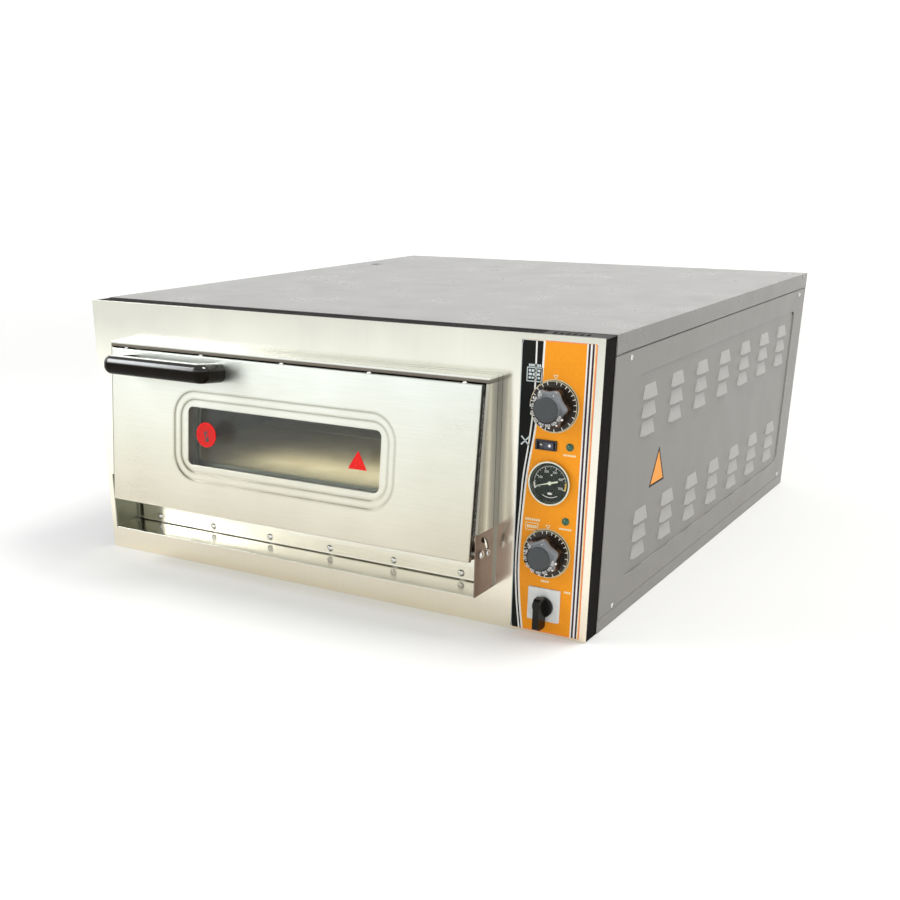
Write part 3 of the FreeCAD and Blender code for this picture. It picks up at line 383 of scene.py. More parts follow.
def lens_green():
    f = Finish("lamp_green", Transmission_Weight=0.35, IOR=1.49, Coat_Weight=0.6)
    facets = f.cells(900.0)
    colour = f.ramp(facets, (0.0, (0.0, 0.05, 0.025)), (0.8, (0.01, 0.20, 0.10)))
    f.bump(facets, 0.0002, 0.4)
    return f.done(Base_Color=colour, Roughness=f.span(facets, 0.0, 0.9, 0.05, 0.16))


def plated(name, colour, roughness, edge=0.0003):
    """Bright zinc or chrome plating with fine turning marks."""
    f = Finish(name, Metallic=1.0)
    f.soft_edges(edge)
    marks = f.noise(800.0, (1, 1, 1), 2.0, 0.5)
    cloud = f.noise(160.0, (1, 1, 1), 2.0, 0.5)
    base = f.ramp(cloud, (0.3, tuple(c * 0.85 for c in colour)), (0.7, colour))
    f.bump(marks, 0.00001, 0.4)
    return f.done(Base_Color=base, Roughness=f.span(marks, 0.3, 0.7, roughness - 0.03, roughness + 0.05))


def ink(name, colour, roughness=0.36, specular=0.2):
    """Screen print: even colour with the fine unevenness of the ink film."""
    f = Finish(name, Specular_IOR_Level=specular)
    film = f.noise(240.0, (1, 1, 1), 3.0, 0.6)
    base = f.ramp(film, (0.25, tuple(c * 0.93 for c in colour)), (0.7, colour))
    f.bump(film, 0.000008, 0.4)
    return f.done(Base_Color=base, Roughness=f.span(film, 0.3, 0.7, roughness - 0.04, roughness + 0.05))


def label_base():
    """Orange plastic of the overlay, with its left edge printed dark."""
    f = Finish("label_orange", Specular_IOR_Level=0.2)
    film = f.noise(200.0, (1, 1, 1), 3.0, 0.6)
    orange = f.ramp(film, (0.25, (0.87, 0.305, 0.008)), (0.7, (0.92, 0.33, 0.010)))
    share = f.span(f.axis("X"), 0.3274, 0.3276, 0.0, 1.0)
    base = f.mixed(share, (0.011, 0.012, 0.011), orange)
    f.bump(film, 0.000008, 0.4)
    return f.done(Base_Color=base, Roughness=f.span(film, 0.3, 0.7, 0.28, 0.37))


def surround_steel():
    """Bent sheet round the door: painted reflection and shade in bands along its sides, and painted shade on
    the lower half of its hem.
    """
    f = Finish("surround_steel", Metallic=1.0)
    f.soft_edges(0.0006)
    lines = f.noise(1.0, (1400, 1400, 16), 3.0, 0.65)
    cloud = f.noise(5.0, (1, 1, 1), 3.0, 0.6)
    grain = f.ramp(lines, (0.25, (0.90, 0.90, 0.90)), (0.75, (1, 1, 1)))
    waved = f.math("ADD", f.axis("Y"), f.span(cloud, 0.3, 0.7, -0.002, 0.002))
    # painted reflection and shade: bands of tone across the sides' depth, darkest next to the fascia
    depth = f.span(waved, -0.600, -0.514, 0.0, 1.0)
    side = f.ramp(depth, (0.0, (0.26, 0.25, 0.21)), (0.52, (0.37, 0.355, 0.30)), (0.66, (0.66, 0.64, 0.56)),
                  (0.76, (0.36, 0.355, 0.32)), (1.0, (0.20, 0.20, 0.185)))
    # painted shade: the lower half of the hem is darkened where the gap over the door's top lies
    hem = f.ramp(f.span(f.axis("Z"), 0.3486, 0.3576, 0.0, 1.0), (0.0, (0.13, 0.11, 0.09)),
                 (0.55, (0.22, 0.20, 0.17)), (0.66, (0.80, 0.82, 0.76)), (1.0, (0.86, 0.87, 0.80)))
    base = f.mixed(f.span(f.axis("Z"), 0.3482, 0.3488, 0.0, 1.0), side, hem)
    f.bump(lines, 0.00002, 0.6)
    f.bump(cloud, 0.0004, 0.15)
    return f.done(Base_Color=f.times(base, grain), Roughness=f.span(lines, 0.3, 0.7, 0.17, 0.25))


LID_JOINT = 0.3846          # height of the lid's underside in metres

FINISH = {
    "polished_steel": fascia_steel(),
    "door_steel": door_steel(),
    "hood_steel": steel("hood_steel", (0.44, 0.43, 0.38), (0.58, 0.57, 0.51), 0.22, (1400, 1400, 16), 0.0008),
    # dark reddish tone of the right bracket: painted reflection
    "hinge_steel": steel("hinge_steel", (0.19, 0.13, 0.105), (0.29, 0.21, 0.175), 0.30, (1400, 20, 1400),
                         0.0007),
    "surround_steel": surround_steel(),
    "hinge_grey": steel("hinge_grey", (0.24, 0.25, 0.20), (0.36, 0.37, 0.31), 0.34, (1400, 20, 1400), 0.0007),
    "ledge_steel": steel("ledge_steel", (0.76, 0.74, 0.65), (0.86, 0.84, 0.74), 0.17, (12, 1400, 1400),
                         0.0008),
    "side_paint": enamel("side_paint", (0.198, 0.187, 0.170), 0.33, flat="X", gap=LID_JOINT),
    "rear_paint": enamel("rear_paint", (0.205, 0.193, 0.176), 0.33, flat="Y", gap=LID_JOINT),
    "vent_paint": enamel("vent_paint", (0.05, 0.045, 0.04), 0.5, specular=0.12),
    # the lid gets a lighter grey than the same paint on the side panels: painted light on its top
    "lid_paint": enamel("lid_paint", (0.262, 0.254, 0.247), 0.30, peel=0.0, edge=0.0,
                         fold=(0.180, 0.172, 0.160)),
    "black_paint": enamel("black_paint", (0.006, 0.004, 0.003), 0.5, specular=0.02),
    "zinc_sheet": galvanised(),
    "chamber_sheet": heat_toned(),
    "label_orange": label_base(),
    "wool": mineral_wool(),
    "stone": refractory(),
    "element_sheath": oxidised(),
    "glass": clear_glass("glass", (0.86, 0.90, 0.88), 0.02, 1.32),
    "dial_glass": clear_glass("dial_glass", (0.96, 0.97, 0.95), 0.0, 1.18),
    "braid": braid_fibre(),
    "handle_plastic": handle_black(),
    "lever_black": moulded("lever_black", (0.010, 0.009, 0.008), 0.22, specular=0.2),
    "knob_gloss": moulded("knob_gloss", (0.022, 0.013, 0.006), 0.20, specular=0.4),
    "knob_grey": knob_shoulder(),
    "knob_cap": moulded("knob_cap", (0.055, 0.060, 0.063), 0.42, grain=0.00006, grain_scale=1400.0,
                        specular=0.4),
    "switch_plastic": moulded("switch_plastic", (0.018, 0.018, 0.018), 0.36),
    "rocker_slate": moulded("rocker_slate", (0.045, 0.050, 0.075), 0.26, coat=0.3),
    "bezel_chrome": plated("bezel_chrome", (0.70, 0.72, 0.60), 0.14),
    "marker_dark": ink("marker_dark", (0.66, 0.014, 0.011), 0.3),
    "marker_grey": ink("marker_grey", (0.10, 0.07, 0.065), 0.4),
    "pointer_white": ink("pointer_white", (0.88, 0.92, 0.74), 0.4),
    "lamp_green": lens_green(),
    "marker_red": ink("marker_red", (0.80, 0.015, 0.012), 0.25),
    "plate_silver": moulded("plate_silver", (0.80, 0.82, 0.80), 0.35, grain=0.00003, grain_scale=700.0),
    "zinc_screw": plated("zinc_screw", (0.80, 0.80, 0.78), 0.20),
    "screw_bright": plated("screw_bright", (0.96, 0.96, 0.94), 0.45),
    "shaft_steel": plated("shaft_steel", (0.60, 0.60, 0.60), 0.28),
    "ceramic_white": moulded("ceramic_white", (0.78, 0.75, 0.68), 0.35),
    "ink_white": ink("ink_white", (0.88, 0.87, 0.84)),
    "ink_cream": ink("ink_cream", (0.86, 0.76, 0.50)),
    "ink_black": ink("ink_black", (0.011, 0.012, 0.011), 0.45, 0.08),
    "ink_plum": ink("ink_plum", (0.055, 0.030, 0.038), 0.45, 0.1),
    "ink_yellow": ink("ink_yellow", (0.95, 0.62, 0.12)),
    "ink_red": ink("ink_red", (0.90, 0.22, 0.20)),
    "ink_pale": ink("ink_pale", (0.62, 0.70, 0.70)),
    "dial_dark": ink("dial_dark", (0.030, 0.038, 0.032), 0.5, 0.1),
}

NODE_FINISH = {
    "polished_steel": ["front_fascia"],
    "ledge_steel": ["crumb_ledge"],
    "door_steel": ["door_outer_panel", "door_inner_pan"],
    "surround_steel": ["door_surround", "surround_flange"],
    "hood_steel": ["throat_frame", "hinge_ears"],
    "hinge_steel": ["hinge_bracket_right"],
    "hinge_grey": ["hinge_bracket_left"],
    "side_paint": ["side_panel_left", "side_panel_right", "base_tray"],
    "rear_paint": ["rear_panel"],
    "vent_paint": ["control_vent"],
    "lid_paint": ["top_lid"],
    "black_paint": ["front_frame"],
    "zinc_sheet": ["corner_posts", "heat_shield", "steam_flue"],
    "chamber_sheet": ["chamber_liner", "stone_rails", "window_frame"],
    "label_orange": ["control_label"],
    "wool": ["insulation_wrap", "insulation_bottom", "insulation_rear", "door_insulation"],
    "stone": ["stone_slabs"],
    "element_sheath": ["heating_elements_upper", "heating_elements_lower"],
    "glass": ["window_glass_outer", "window_glass_inner"],
    "dial_glass": ["thermometer_glass"],
    "braid": ["door_gasket"],
    "handle_plastic": ["door_handle"],
    "lever_black": ["cam_switch_lever"],
    "knob_gloss": ["upper_knob", "lower_knob"],
    "switch_plastic": ["rocker_housing", "cam_switch_body", "cable_gland"],
    "rocker_slate": ["rocker_actuator"],
    "bezel_chrome": ["thermometer_case"],
    "pointer_white": ["thermometer_needle"],
    "lamp_green": ["pilot_lamps"],
    "marker_red": ["window_markers"],
    "plate_silver": ["cam_switch_plate"],
    "zinc_screw": ["side_panel_screws", "rear_panel_screws", "ledge_screws", "handle_screws",
                   "hinge_pivot_screws", "hinge_guide_pins"],
    "screw_bright": ["door_top_screws"],
    "shaft_steel": ["sensor_probes", "upper_knob_shaft", "lower_knob_shaft"],
    "ceramic_white": ["thermostats", "terminal_block"],
}
for finish, names in NODE_FINISH.items():
    for name in names:
        frame["nodes"][name].data.materials[0] = FINISH[finish]


# ---- mesh helpers ------------------------------------------------------------------------------
class Build:
    """A mesh in the making, in cabinet millimetres, with several finishes."""

    def __init__(self, name, body, slot, *finishes):
        self.name = name
        self.body = body
        self.slot = slot
        self.finishes = finishes
        self.bm = bmesh.new()

    def face(self, corners, finish, smooth=False):
        face = self.bm.faces.new(corners)
        face.material_index = self.finishes.index(finish)
        face.smooth = smooth

    def prism(self, front, back, finish):
        """Solid between two outlines of the same number of points."""
        front = [self.bm.verts.new(p) for p in front]
        back = [self.bm.verts.new(p) for p in back]
        self.face(front, finish)
        self.face(back[::-1], finish)
        count = len(front)
        for i in range(count):
            j = (i + 1) % count
            self.face([front[j], front[i], back[i], back[j]], finish)

    def slab(self, outline, y0, y1, finish):
        """Flat shape on the front: outline of (x, z), counter-clockwise seen from the front."""
        self.prism([(x, y0, z) for x, z in outline], [(x, y1, z) for x, z in outline], finish)

    def band(self, inner, outer, y0, y1, finish, closed=True):
        """Flat ring or strip between two outlines of the same number of points."""
        rows = [[self.bm.verts.new((x, y, z)) for x, z in line]
                for line, y in ((inner, y0), (outer, y0), (outer, y1), (inner, y1))]
        count = len(inner)
        for i in range(count if closed else count - 1):
            j = (i + 1) % count
            for k in range(4):
                a, b = rows[k], rows[(k + 1) % 4]
                self.face([a[i], b[i], b[j], a[j]], finish)
        if not closed:
            self.face([rows[k][0] for k in (3, 2, 1, 0)], finish)
            self.face([rows[k][-1] for k in range(4)], finish)

    def rings(self, rings, finishes):
        """Smooth skin over rings of points, closed at both ends; finishes[i] is for the band after ring i."""
        rows = [[self.bm.verts.new(p) for p in ring] for ring in rings]
        count = len(rows[0])
        for k in range(len(rows) - 1):
            for i in range(count):
                j = (i + 1) % count
                self.face([rows[k][i], rows[k][j], rows[k + 1][j], rows[k + 1][i]], finishes[k], True)
        self.face(rows[0][::-1], finishes[0])
        self.face(rows[-1], finishes[-1])

    def finish(self, turn=None):
        """Close the mesh, turn it into place and hang it on its body."""
        bmesh.ops.recalc_face_normals(self.bm, faces=self.bm.faces)
        if turn is not None:
            self.bm.transform(turn)
        for vert in self.bm.verts:
            vert.co = at(*vert.co)
        mesh = bpy.data.meshes.new(self.name)
        self.bm.to_mesh(mesh)
        self.bm.free()
        mesh.set_sharp_from_angle(angle=math.radians(32))
        for finish in self.finishes:
            mesh.materials.append(FINISH[finish])
        piece = bpy.data.objects.new(self.name, mesh)
        bpy.context.scene.collection.objects.link(piece)
        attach(piece, self.body)
        return piece


def ring_points(cx, cz, radius, count, start=0.0, sweep=360.0, closed=True):
    steps = count if closed else count - 1
    angles = [math.radians(start + sweep * i / steps) for i in range(count)]
    return [(cx + radius * math.cos(a), cz + radius * math.sin(a)) for a in angles]


def rectangle(x0, x1, z0, z1):
    return [(x0, z0), (x1, z0), (x1, z1), (x0, z1)]


def spoke(cx, cz, angle, inner, outer, inner_width, outer_width=None):
    """Radial tick as an outline of four points."""
    a = math.radians(angle)
    along, across = (math.cos(a), math.sin(a)), (-math.sin(a), math.cos(a))
    outer_width = inner_width if outer_width is None else outer_width
    corners = [(inner, -inner_width / 2), (outer, -outer_width / 2), (outer, outer_width / 2),
               (inner, inner_width / 2)]
    return [(cx + r * along[0] + w * across[0], cz + r * along[1] + w * across[1]) for r, w in corners]


def numeral(text, height):
    """Polygons of a number as flat outlines in (x, z), centred on the origin."""
    curve = bpy.data.curves.new("numeral", "FONT")
    curve.body = text
    curve.align_x = "CENTER"
    curve.align_y = "CENTER"
    curve.size = height * 1.35
    curve.resolution_u = 3
    curve.fill_mode = "FRONT"
    holder = bpy.data.objects.new("numeral", curve)
    mesh = bpy.data.meshes.new_from_object(holder)
    shapes = [[(mesh.vertices[v].co.x, mesh.vertices[v].co.y) for v in p.vertices] for p in mesh.polygons]
    bpy.data.objects.remove(holder)
    bpy.data.meshes.remove(mesh)
    bpy.data.curves.remove(curve)
    return shapes


def placed(shape, cx, cz, turn=0.0, wide=1.0):
    c, s = math.cos(math.radians(turn)), math.sin(math.radians(turn))
    return [(cx + x * wide * c - z * s, cz + x * wide * s + z * c) for x, z in shape]


# ---- printed overlay ---------------------------------------------------------------------------
# faces and edges of the overlay, and the middles of the controls that sit on it
LABEL_FACE = -0.4
LABEL_LEFT = 764.6
LABEL_LOW = 3.5
LABEL_HIGH = 405.4
CONTROL_X = 815.0
KNOB_LEVELS = {"upper_knob": 322.0, "lower_knob": 120.0}
DIAL_LEVEL = 219.5
FILM = 0.03                 # thickness of one film of ink
FIRST_INK = LABEL_FACE - FILM
SECOND_INK = LABEL_FACE - 2 * FILM

# (z, x) points down the two pale lines that divide the dark strip from the orange
LINE_ONE = [(406, 785.9), (339, 786.4), (298, 784.0), (256, 779.3), (230, 774.4), (178, 771.9), (137, 769.4),
            (89, 768.5), (41, 772.4), (1, 778.3)]
LINE_TWO = [(406, 797.2), (353, 796.0), (285, 789.2), (243, 782.3), (230, 780.0), (178, 776.6), (137, 774.2),
            (89, 773.4), (41, 777.4), (1, 783.2)]


def along_line(line, z):
    """X of a printed line at height z, through its points."""
    for (z1, x1), (z0, x0) in zip(line, line[1:]):
        if z0 <= z <= z1:
            t = (z - z0) / (z1 - z0)
            return x0 + (x1 - x0) * t
    return line[0][1] if z > line[0][0] else line[-1][1]


def smooth_line(line, count=64):
    """Evenly spaced (x, z) points down a printed line, with its corners eased."""
    levels = [LABEL_HIGH - 0.3 - (LABEL_HIGH - LABEL_LOW - 0.6) * i / (count - 1) for i in range(count)]
    xs = [along_line(line, z) for z in levels]
    for _ in range(12):
        xs = [xs[0]] + [(a + 2 * b + c) / 4 for a, b, c in zip(xs, xs[1:], xs[2:])] + [xs[-1]]
    return list(zip(xs, levels))


def printed(b, outline, finish, level=SECOND_INK):
    """Flat film of ink on the overlay."""
    b.slab(outline, level, LABEL_FACE, finish)


def printed_band(b, inner, outer, finish, level=SECOND_INK, closed=True):
    """Ring or strip of ink between two outlines."""
    b.band(inner, outer, level, LABEL_FACE, finish, closed)


def shifted(points, step):
    return [(x + step, z) for x, z in points]


def dark_strip(b):
    """Dark strip down the left, with rounded corners and the two pale lines that bound it."""
    one, two = smooth_line(LINE_ONE), smooth_line(LINE_TWO)
    corner = 2.5
    edge = []
    for _, z in two:
        inset = 0.0
        for limit in (LABEL_HIGH - 0.1, LABEL_LOW + 0.1):
            reach = abs(limit - z)
            if reach < corner:
                inset = corner - math.sqrt(max(corner ** 2 - (corner - reach) ** 2, 0.0))
        edge.append((LABEL_LEFT + 0.15 + inset, z))
    printed_band(b, edge, shifted(two, -1.0), "ink_black", FIRST_INK, closed=False)
    printed_band(b, edge, shifted(edge, 0.9), "ink_pale", closed=False)
    printed(b, rectangle(LABEL_LEFT + 2.6, two[0][0] - 1.6, LABEL_HIGH - 1.2, LABEL_HIGH - 0.3), "ink_pale")
    for line, left, right, finish in ((one, -1.1, 1.1, "ink_white"), (two, -1.6, 0.7, "ink_white"),
                                      (two, 0.7, 1.3, "ink_cream")):
        printed_band(b, shifted(line, left), shifted(line, right), finish, closed=False)


def right_stripes(b):
    """Upright stripes down the right side, and a red line along the top and the bottom."""
    stripes = ((855.9, 857.9, "ink_white"), (857.9, 860.8, "ink_plum"), (860.8, 863.3, "ink_white"),
               (863.3, 866.2, "ink_plum"), (866.2, 867.2, "ink_white"), (867.2, 868.4, "ink_yellow"),
               (868.4, 869.6, "ink_red"))
    for x0, x1, finish in stripes:
        cut = 1.6 if finish in ("ink_yellow", "ink_red") else 0.3
        printed(b, rectangle(x0, x1, LABEL_LOW + cut, LABEL_HIGH - cut), finish, FIRST_INK)
    for low, high, left in ((LABEL_HIGH - 1.1, LABEL_HIGH - 0.4, 799.5),
                            (LABEL_LOW + 0.4, LABEL_LOW + 1.1, 786.0)):
        printed(b, rectangle(left, stripes[0][0], low, high), "ink_red", FIRST_INK)


def knob_rings(b):
    """Ring round each knob, with its setting mark above."""
    for z in KNOB_LEVELS.values():
        printed_band(b, ring_points(CONTROL_X, z, 33.0, 72), ring_points(CONTROL_X, z, 35.1, 72), "ink_cream")
        top = z + 40.6
        outer = [(CONTROL_X - 3.7, top), (CONTROL_X, top - 5.6), (CONTROL_X + 3.7, top)]
        inner = [(CONTROL_X - 2.0, top - 0.9), (CONTROL_X, top - 3.9), (CONTROL_X + 2.0, top - 0.9)]
        printed_band(b, inner, outer, "ink_cream")
        printed(b, ring_points(CONTROL_X, top - 1.9, 0.6, 12), "ink_black")


def dashes(b, x0, x1, z, tall, count, finish):
    """Row of plain dashes where a caption would stand."""
    pitch = (x1 - x0) / count
    for i in range(count):
        printed(b, rectangle(x0 + pitch * i, x0 + pitch * (i + 0.78), z - tall / 2, z + tall / 2), finish)


def frame_around(b, x0, x1, z0, z1, line, finish):
    printed_band(b, rectangle(x0, x1, z0, z1), rectangle(x0 - line, x1 + line, z0 - line, z1 + line), finish)


def captions(b):
    """Plain stand-ins for the captions beside the lamps, the dial and the lower switch."""
    for z in (259.5, 158.3):
        dashes(b, 831.5, 850.0, z, 2.4, 6, "ink_cream")
    dashes(b, 780.6, 803.0, 165.3, 3.2, 7, "ink_cream")
    frame_around(b, 782.2, 799.4, 150.6, 160.0, 1.0, "ink_cream")
    dashes(b, 783.6, 798.6, 155.3, 4.2, 5, "ink_cream")
    dashes(b, 808.5, 821.0, 79.6, 3.0, 4, "ink_cream")
    dashes(b, 844.0, 854.0, 68.8, 3.0, 3, "ink_cream")


def strip_marks(b):
    """Plain framed block and a four-armed mark on the dark strip."""
    frame_around(b, 774.6, 795.0, 352.6, 369.0, 1.2, "ink_pale")
    dashes(b, 776.0, 794.0, 372.6, 3.2, 6, "ink_pale")
    for z, tall, count in ((365.8, 3.2, 4), (361.0, 3.2, 3), (356.4, 2.6, 4)):
        dashes(b, 776.2, 793.6, z, tall, count, "ink_pale")
    for angle in (45, 135, 225, 315):
        printed(b, spoke(775.2, 272.5, angle, 0.6, 8.2, 1.7, 2.4), "ink_pale")


def label_layers():
    """Inks of the overlay, each a thin film on the one below."""
    b = Build("label_print", "cabinet", "label_print", "ink_white", "ink_cream", "ink_black", "ink_plum",
              "ink_yellow", "ink_red", "ink_pale")
    dark_strip(b)
    right_stripes(b)
    knob_rings(b)
    captions(b)
    strip_marks(b)
    b.finish()


label_layers()


# ---- thermostat knobs --------------------------------------------------------------------------
KNOB_TURN = {"upper_knob": 0.0, "lower_knob": 18.0}
# the shoulder as (y, radius, depth of the hollows)
SHOULDER = ((-18.5, 26.6, 4.2), (-21.0, 25.9, 3.4), (-22.9, 24.7, 2.4), (-24.3, 22.8, 1.3),
            (-25.3, 20.2, 0.5), (-25.9, 17.2, 0.0))
SCALE_TICKS = (84, 72, 57.5, 46, 33.5, 21.8, 8.8, -5.4, -22, -40.8, -62.9, -85, -108, -131, -153, -172, -190,
               -207, -223, -238, -252)


def knob(node):
    """Skirt with printed ticks, a grip with six hollows, a numbered shoulder and a satin cap."""
    level = KNOB_LEVELS[node]
    b = Build(node + "_detail", node + "_body", "knob_plastic", "knob_gloss", "knob_cap", "ink_white",
              "ink_cream", "knob_grey")
    count = 144
    back = -1.2
    face = back - 2.8
    first_lobe = 62.0

    def ring(y, radius, hollow=0.0):
        points = []
        for i in range(count):
            a = 2 * math.pi * i / count
            dip = 0.5 - 0.5 * math.cos(6 * (a - math.radians(first_lobe)))
            r = radius - hollow * dip ** 0.8
            points.append((CONTROL_X + r * math.cos(a), y, level + r * math.sin(a)))
        return points

    skirt = ((back, 3.1), (back, 33.3), (back - 0.5, 33.9), (back - 2.2, 33.9), (back - 2.7, 33.3),
             (face, 28.2))
    walls = ((face, 28.2, 4.4), (-6.0, 27.6, 4.6), (-13.0, 27.2, 4.7))
    top = ((-26.3, 16.6), (-27.6, 16.5), (-28.2, 16.1), (-28.4, 15.4), (-28.3, 8.0), (-28.25, 1.0))
    rings = [ring(*row) for row in skirt + walls + SHOULDER + top]
    b.rings(rings, ["knob_gloss"] * len(skirt + walls) + ["knob_grey"] * len(SHOULDER)
            + ["knob_cap"] * (len(top) - 1))
    for angle in SCALE_TICKS:
        b.slab(spoke(CONTROL_X, level, angle, 28.9, 32.9, 0.8, 1.3), face - 0.05, face + 0.02, "ink_white")
    b.band(ring_points(CONTROL_X, level, 32.9, 96), ring_points(CONTROL_X, level, 33.5, 96), face - 0.04,
           face + 0.02, "ink_cream")
    return b, level


def shoulder_y(radius):
    """Front of the knob's shoulder at a radius, between its profile points."""
    for (y1, r1, _), (y0, r0, _) in zip(SHOULDER, SHOULDER[1:]):
        if r0 <= radius <= r1:
            return y0 + (y1 - y0) * (radius - r0) / (r1 - r0)
    return SHOULDER[-1][0]


def knob_numbers(b, level):
    for i in range(9):
        angle = 120.0 + 26.4 * i
        a = math.radians(angle)
        cx, cz = CONTROL_X + 20.3 * math.cos(a), level + 20.3 * math.sin(a)
        for shape in numeral(str(50 * (i + 1)), 3.8):
            outline = placed(shape, cx, cz, angle - 90.0, 1.05)
            on_shoulder(b, outline, level)
        on_shoulder(b, spoke(CONTROL_X, level, angle, 23.2, 25.4, 3.0, 2.6), level)
    on_shoulder(b, spoke(CONTROL_X, level, 64.0, 20.0, 25.4, 1.7, 1.5), level)


def on_shoulder(b, outline, level):
    """Thin raised white print that follows the knob's curved shoulder."""
    def lift(x, z, up):
        radius = math.hypot(x - CONTROL_X, z - level)
        return (x, shoulder_y(radius) - up, z)

    b.prism([lift(x, z, 0.28) for x, z in outline], [lift(x, z, -0.3) for x, z in outline], "ink_white")


for node in KNOB_LEVELS:
    builder, level = knob(node)
    knob_numbers(builder, level)
    pivot = Vector((CONTROL_X, 0, level))
    turn = Matrix.Translation(pivot) @ Matrix.Rotation(math.radians(-KNOB_TURN[node]), 4, "Y")
    piece = builder.finish(turn @ Matrix.Translation(-pivot))
    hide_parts(node)


# ---- dial thermometer --------------------------------------------------------------------------
def dial_face():
    """Dark disc with a printed scale: numbers, ticks, and arcs that mark ranges."""
    x, z = CONTROL_X, DIAL_LEVEL
    b = Build("dial_face", "cabinet", "bezel_chrome", "dial_dark", "ink_white", "ink_yellow")
    plane = -1.0
    hole = ring_points(x, z, 1.4, 72)
    b.band(hole, ring_points(x, z, 26.45, 72), plane - 0.12, plane, "dial_dark")
    b.band(ring_points(x, z, 26.62, 72), ring_points(x, z, 28.1, 72), -6.05, -5.98, "dial_dark")
    y0, y1 = plane - 0.17, plane - 0.1
    first, pitch = 200.0, -44.2
    scale = 5 * pitch
    b.band(ring_points(x, z, 22.9, 64, first, scale, False), ring_points(x, z, 23.3, 64, first, scale, False),
           y0, y1, "ink_white", closed=False)
    b.band(ring_points(x, z, 21.9, 16, 6.0, -27.0, False), ring_points(x, z, 23.9, 16, 6.0, -27.0, False),
           y0 - 0.02, y1, "ink_yellow", closed=False)
    b.band(ring_points(x, z, 22.0, 16, 204.0, -22.0, False), ring_points(x, z, 24.4, 16, 204.0, -22.0, False),
           y0 - 0.02, y1, "ink_white", closed=False)
    for i in range(6):
        angle = first + pitch * i
        a = math.radians(angle)
        b.slab(spoke(x, z, angle, 19.2, 22.9, 0.8), y0, y1, "ink_white")
        for shape in numeral(str(100 * i), 3.3):
            b.slab(placed(shape, x + 16.2 * math.cos(a), z + 16.2 * math.sin(a)), y0, y1, "ink_white")
        if i < 5:
            for part in (0.25, 0.5, 0.75):
                inner = 20.8 if part == 0.5 else 21.7
                b.slab(spoke(x, z, angle + pitch * part, inner, 22.9, 0.45), y0, y1, "ink_white")
    b.slab(placed(ring_points(0, 0, 1.0, 16), x + 1.6, z + 11.0, 0.0, 1.3), y0, y1, "ink_white")
    b.slab(placed(ring_points(0, 0, 1.6, 24), x + 0.3, z - 14.6, 0.0, 2.3), y0, y1, "ink_white")
    b.band(ring_points(x, z, 19.6, 24, 238.0, 66.0, False), ring_points(x, z, 20.5, 24, 238.0, 66.0, False),
           y0, y1, "ink_white", closed=False)
    b.finish()


dial_face()


# ---- switch marks and side mark ----------------------------------------------------------------
def rocker_marks():
    """Dash and dot printed on the two sloping halves of the rocker."""
    x, z = 806.5, 270.0
    b = Build("rocker_marks", "lamp_rocker", "switch_plastic", "ink_cream", "ink_white")
    tilt = math.radians(9.0)
    b.slab(rectangle(-9.0, -5.4, -0.8, 0.8), -0.05, 0.3, "ink_cream")
    b.slab(ring_points(6.6, 0.0, 1.9, 24), -0.05, 0.3, "ink_white")
    rise, half_wide, middle = 2.4, 12.0, -4.0
    lift = math.atan2(rise, half_wide)
    for vert in b.bm.verts:
        side = 1 if vert.co.x > 0 else -1
        u, v = vert.co.x, vert.co.y
        vert.co.x = side * (abs(u) * math.cos(lift)) + side * v * math.sin(lift)
        vert.co.y = middle + abs(u) * math.sin(lift) + v * math.cos(lift)
    pivot = Vector((0.0, 1.0, 0.0))
    spin = Matrix.Translation(pivot) @ Matrix.Rotation(-tilt, 4, "Z") @ Matrix.Translation(-pivot)
    b.finish(Matrix.Translation(Vector((x, 0.0, z))) @ spin)


rocker_marks()


def side_mark():
    """Plain orange triangle with a dark edge on the right panel."""
    b = Build("side_mark", "cabinet", "label_print", "ink_black", "label_orange")
    pressed_in = 2.0
    face = CABINET_WIDTH - pressed_in
    y0, y1, low, top = 216.0, 281.0, 172.0, 228.0
    outer = [(y0, low), (y1, low), ((y0 + y1) / 2, top)]
    centre = (sum(p[0] for p in outer) / 3, sum(p[1] for p in outer) / 3)
    inner = [(centre[0] + (y - centre[0]) * 0.82, centre[1] + (z - centre[1]) * 0.82) for y, z in outer]
    for outline, out, finish in ((outer, 0.12, "ink_black"), (inner, 0.18, "label_orange")):
        b.prism([(face + out, y, z) for y, z in outline], [(face, y, z) for y, z in outline], finish)
    b.finish()


side_mark()


# ---- door seal and window marks, drawn on the upright door and leaned back with it --------------
DOOR_PIVOT = Vector((0.0, -43.8, 117.2))
DOOR_LEAN = 6.0             # degrees, with the door shut
DOOR_FRONT = DOOR_PIVOT.y - 20.7
DOOR_LEFT = 74.0
DOOR_RIGHT = 728.0
PANE_FRONT = DOOR_FRONT + 5.0
DISC_X = 261.25
DISC_Z = DOOR_PIVOT.z + 113.3


def door_lean():
    """Turn of an upright door piece back to the shut door's slant."""
    slant = Matrix.Rotation(math.radians(-DOOR_LEAN), 4, "X")
    return Matrix.Translation(DOOR_PIVOT) @ slant @ Matrix.Translation(-DOOR_PIVOT)


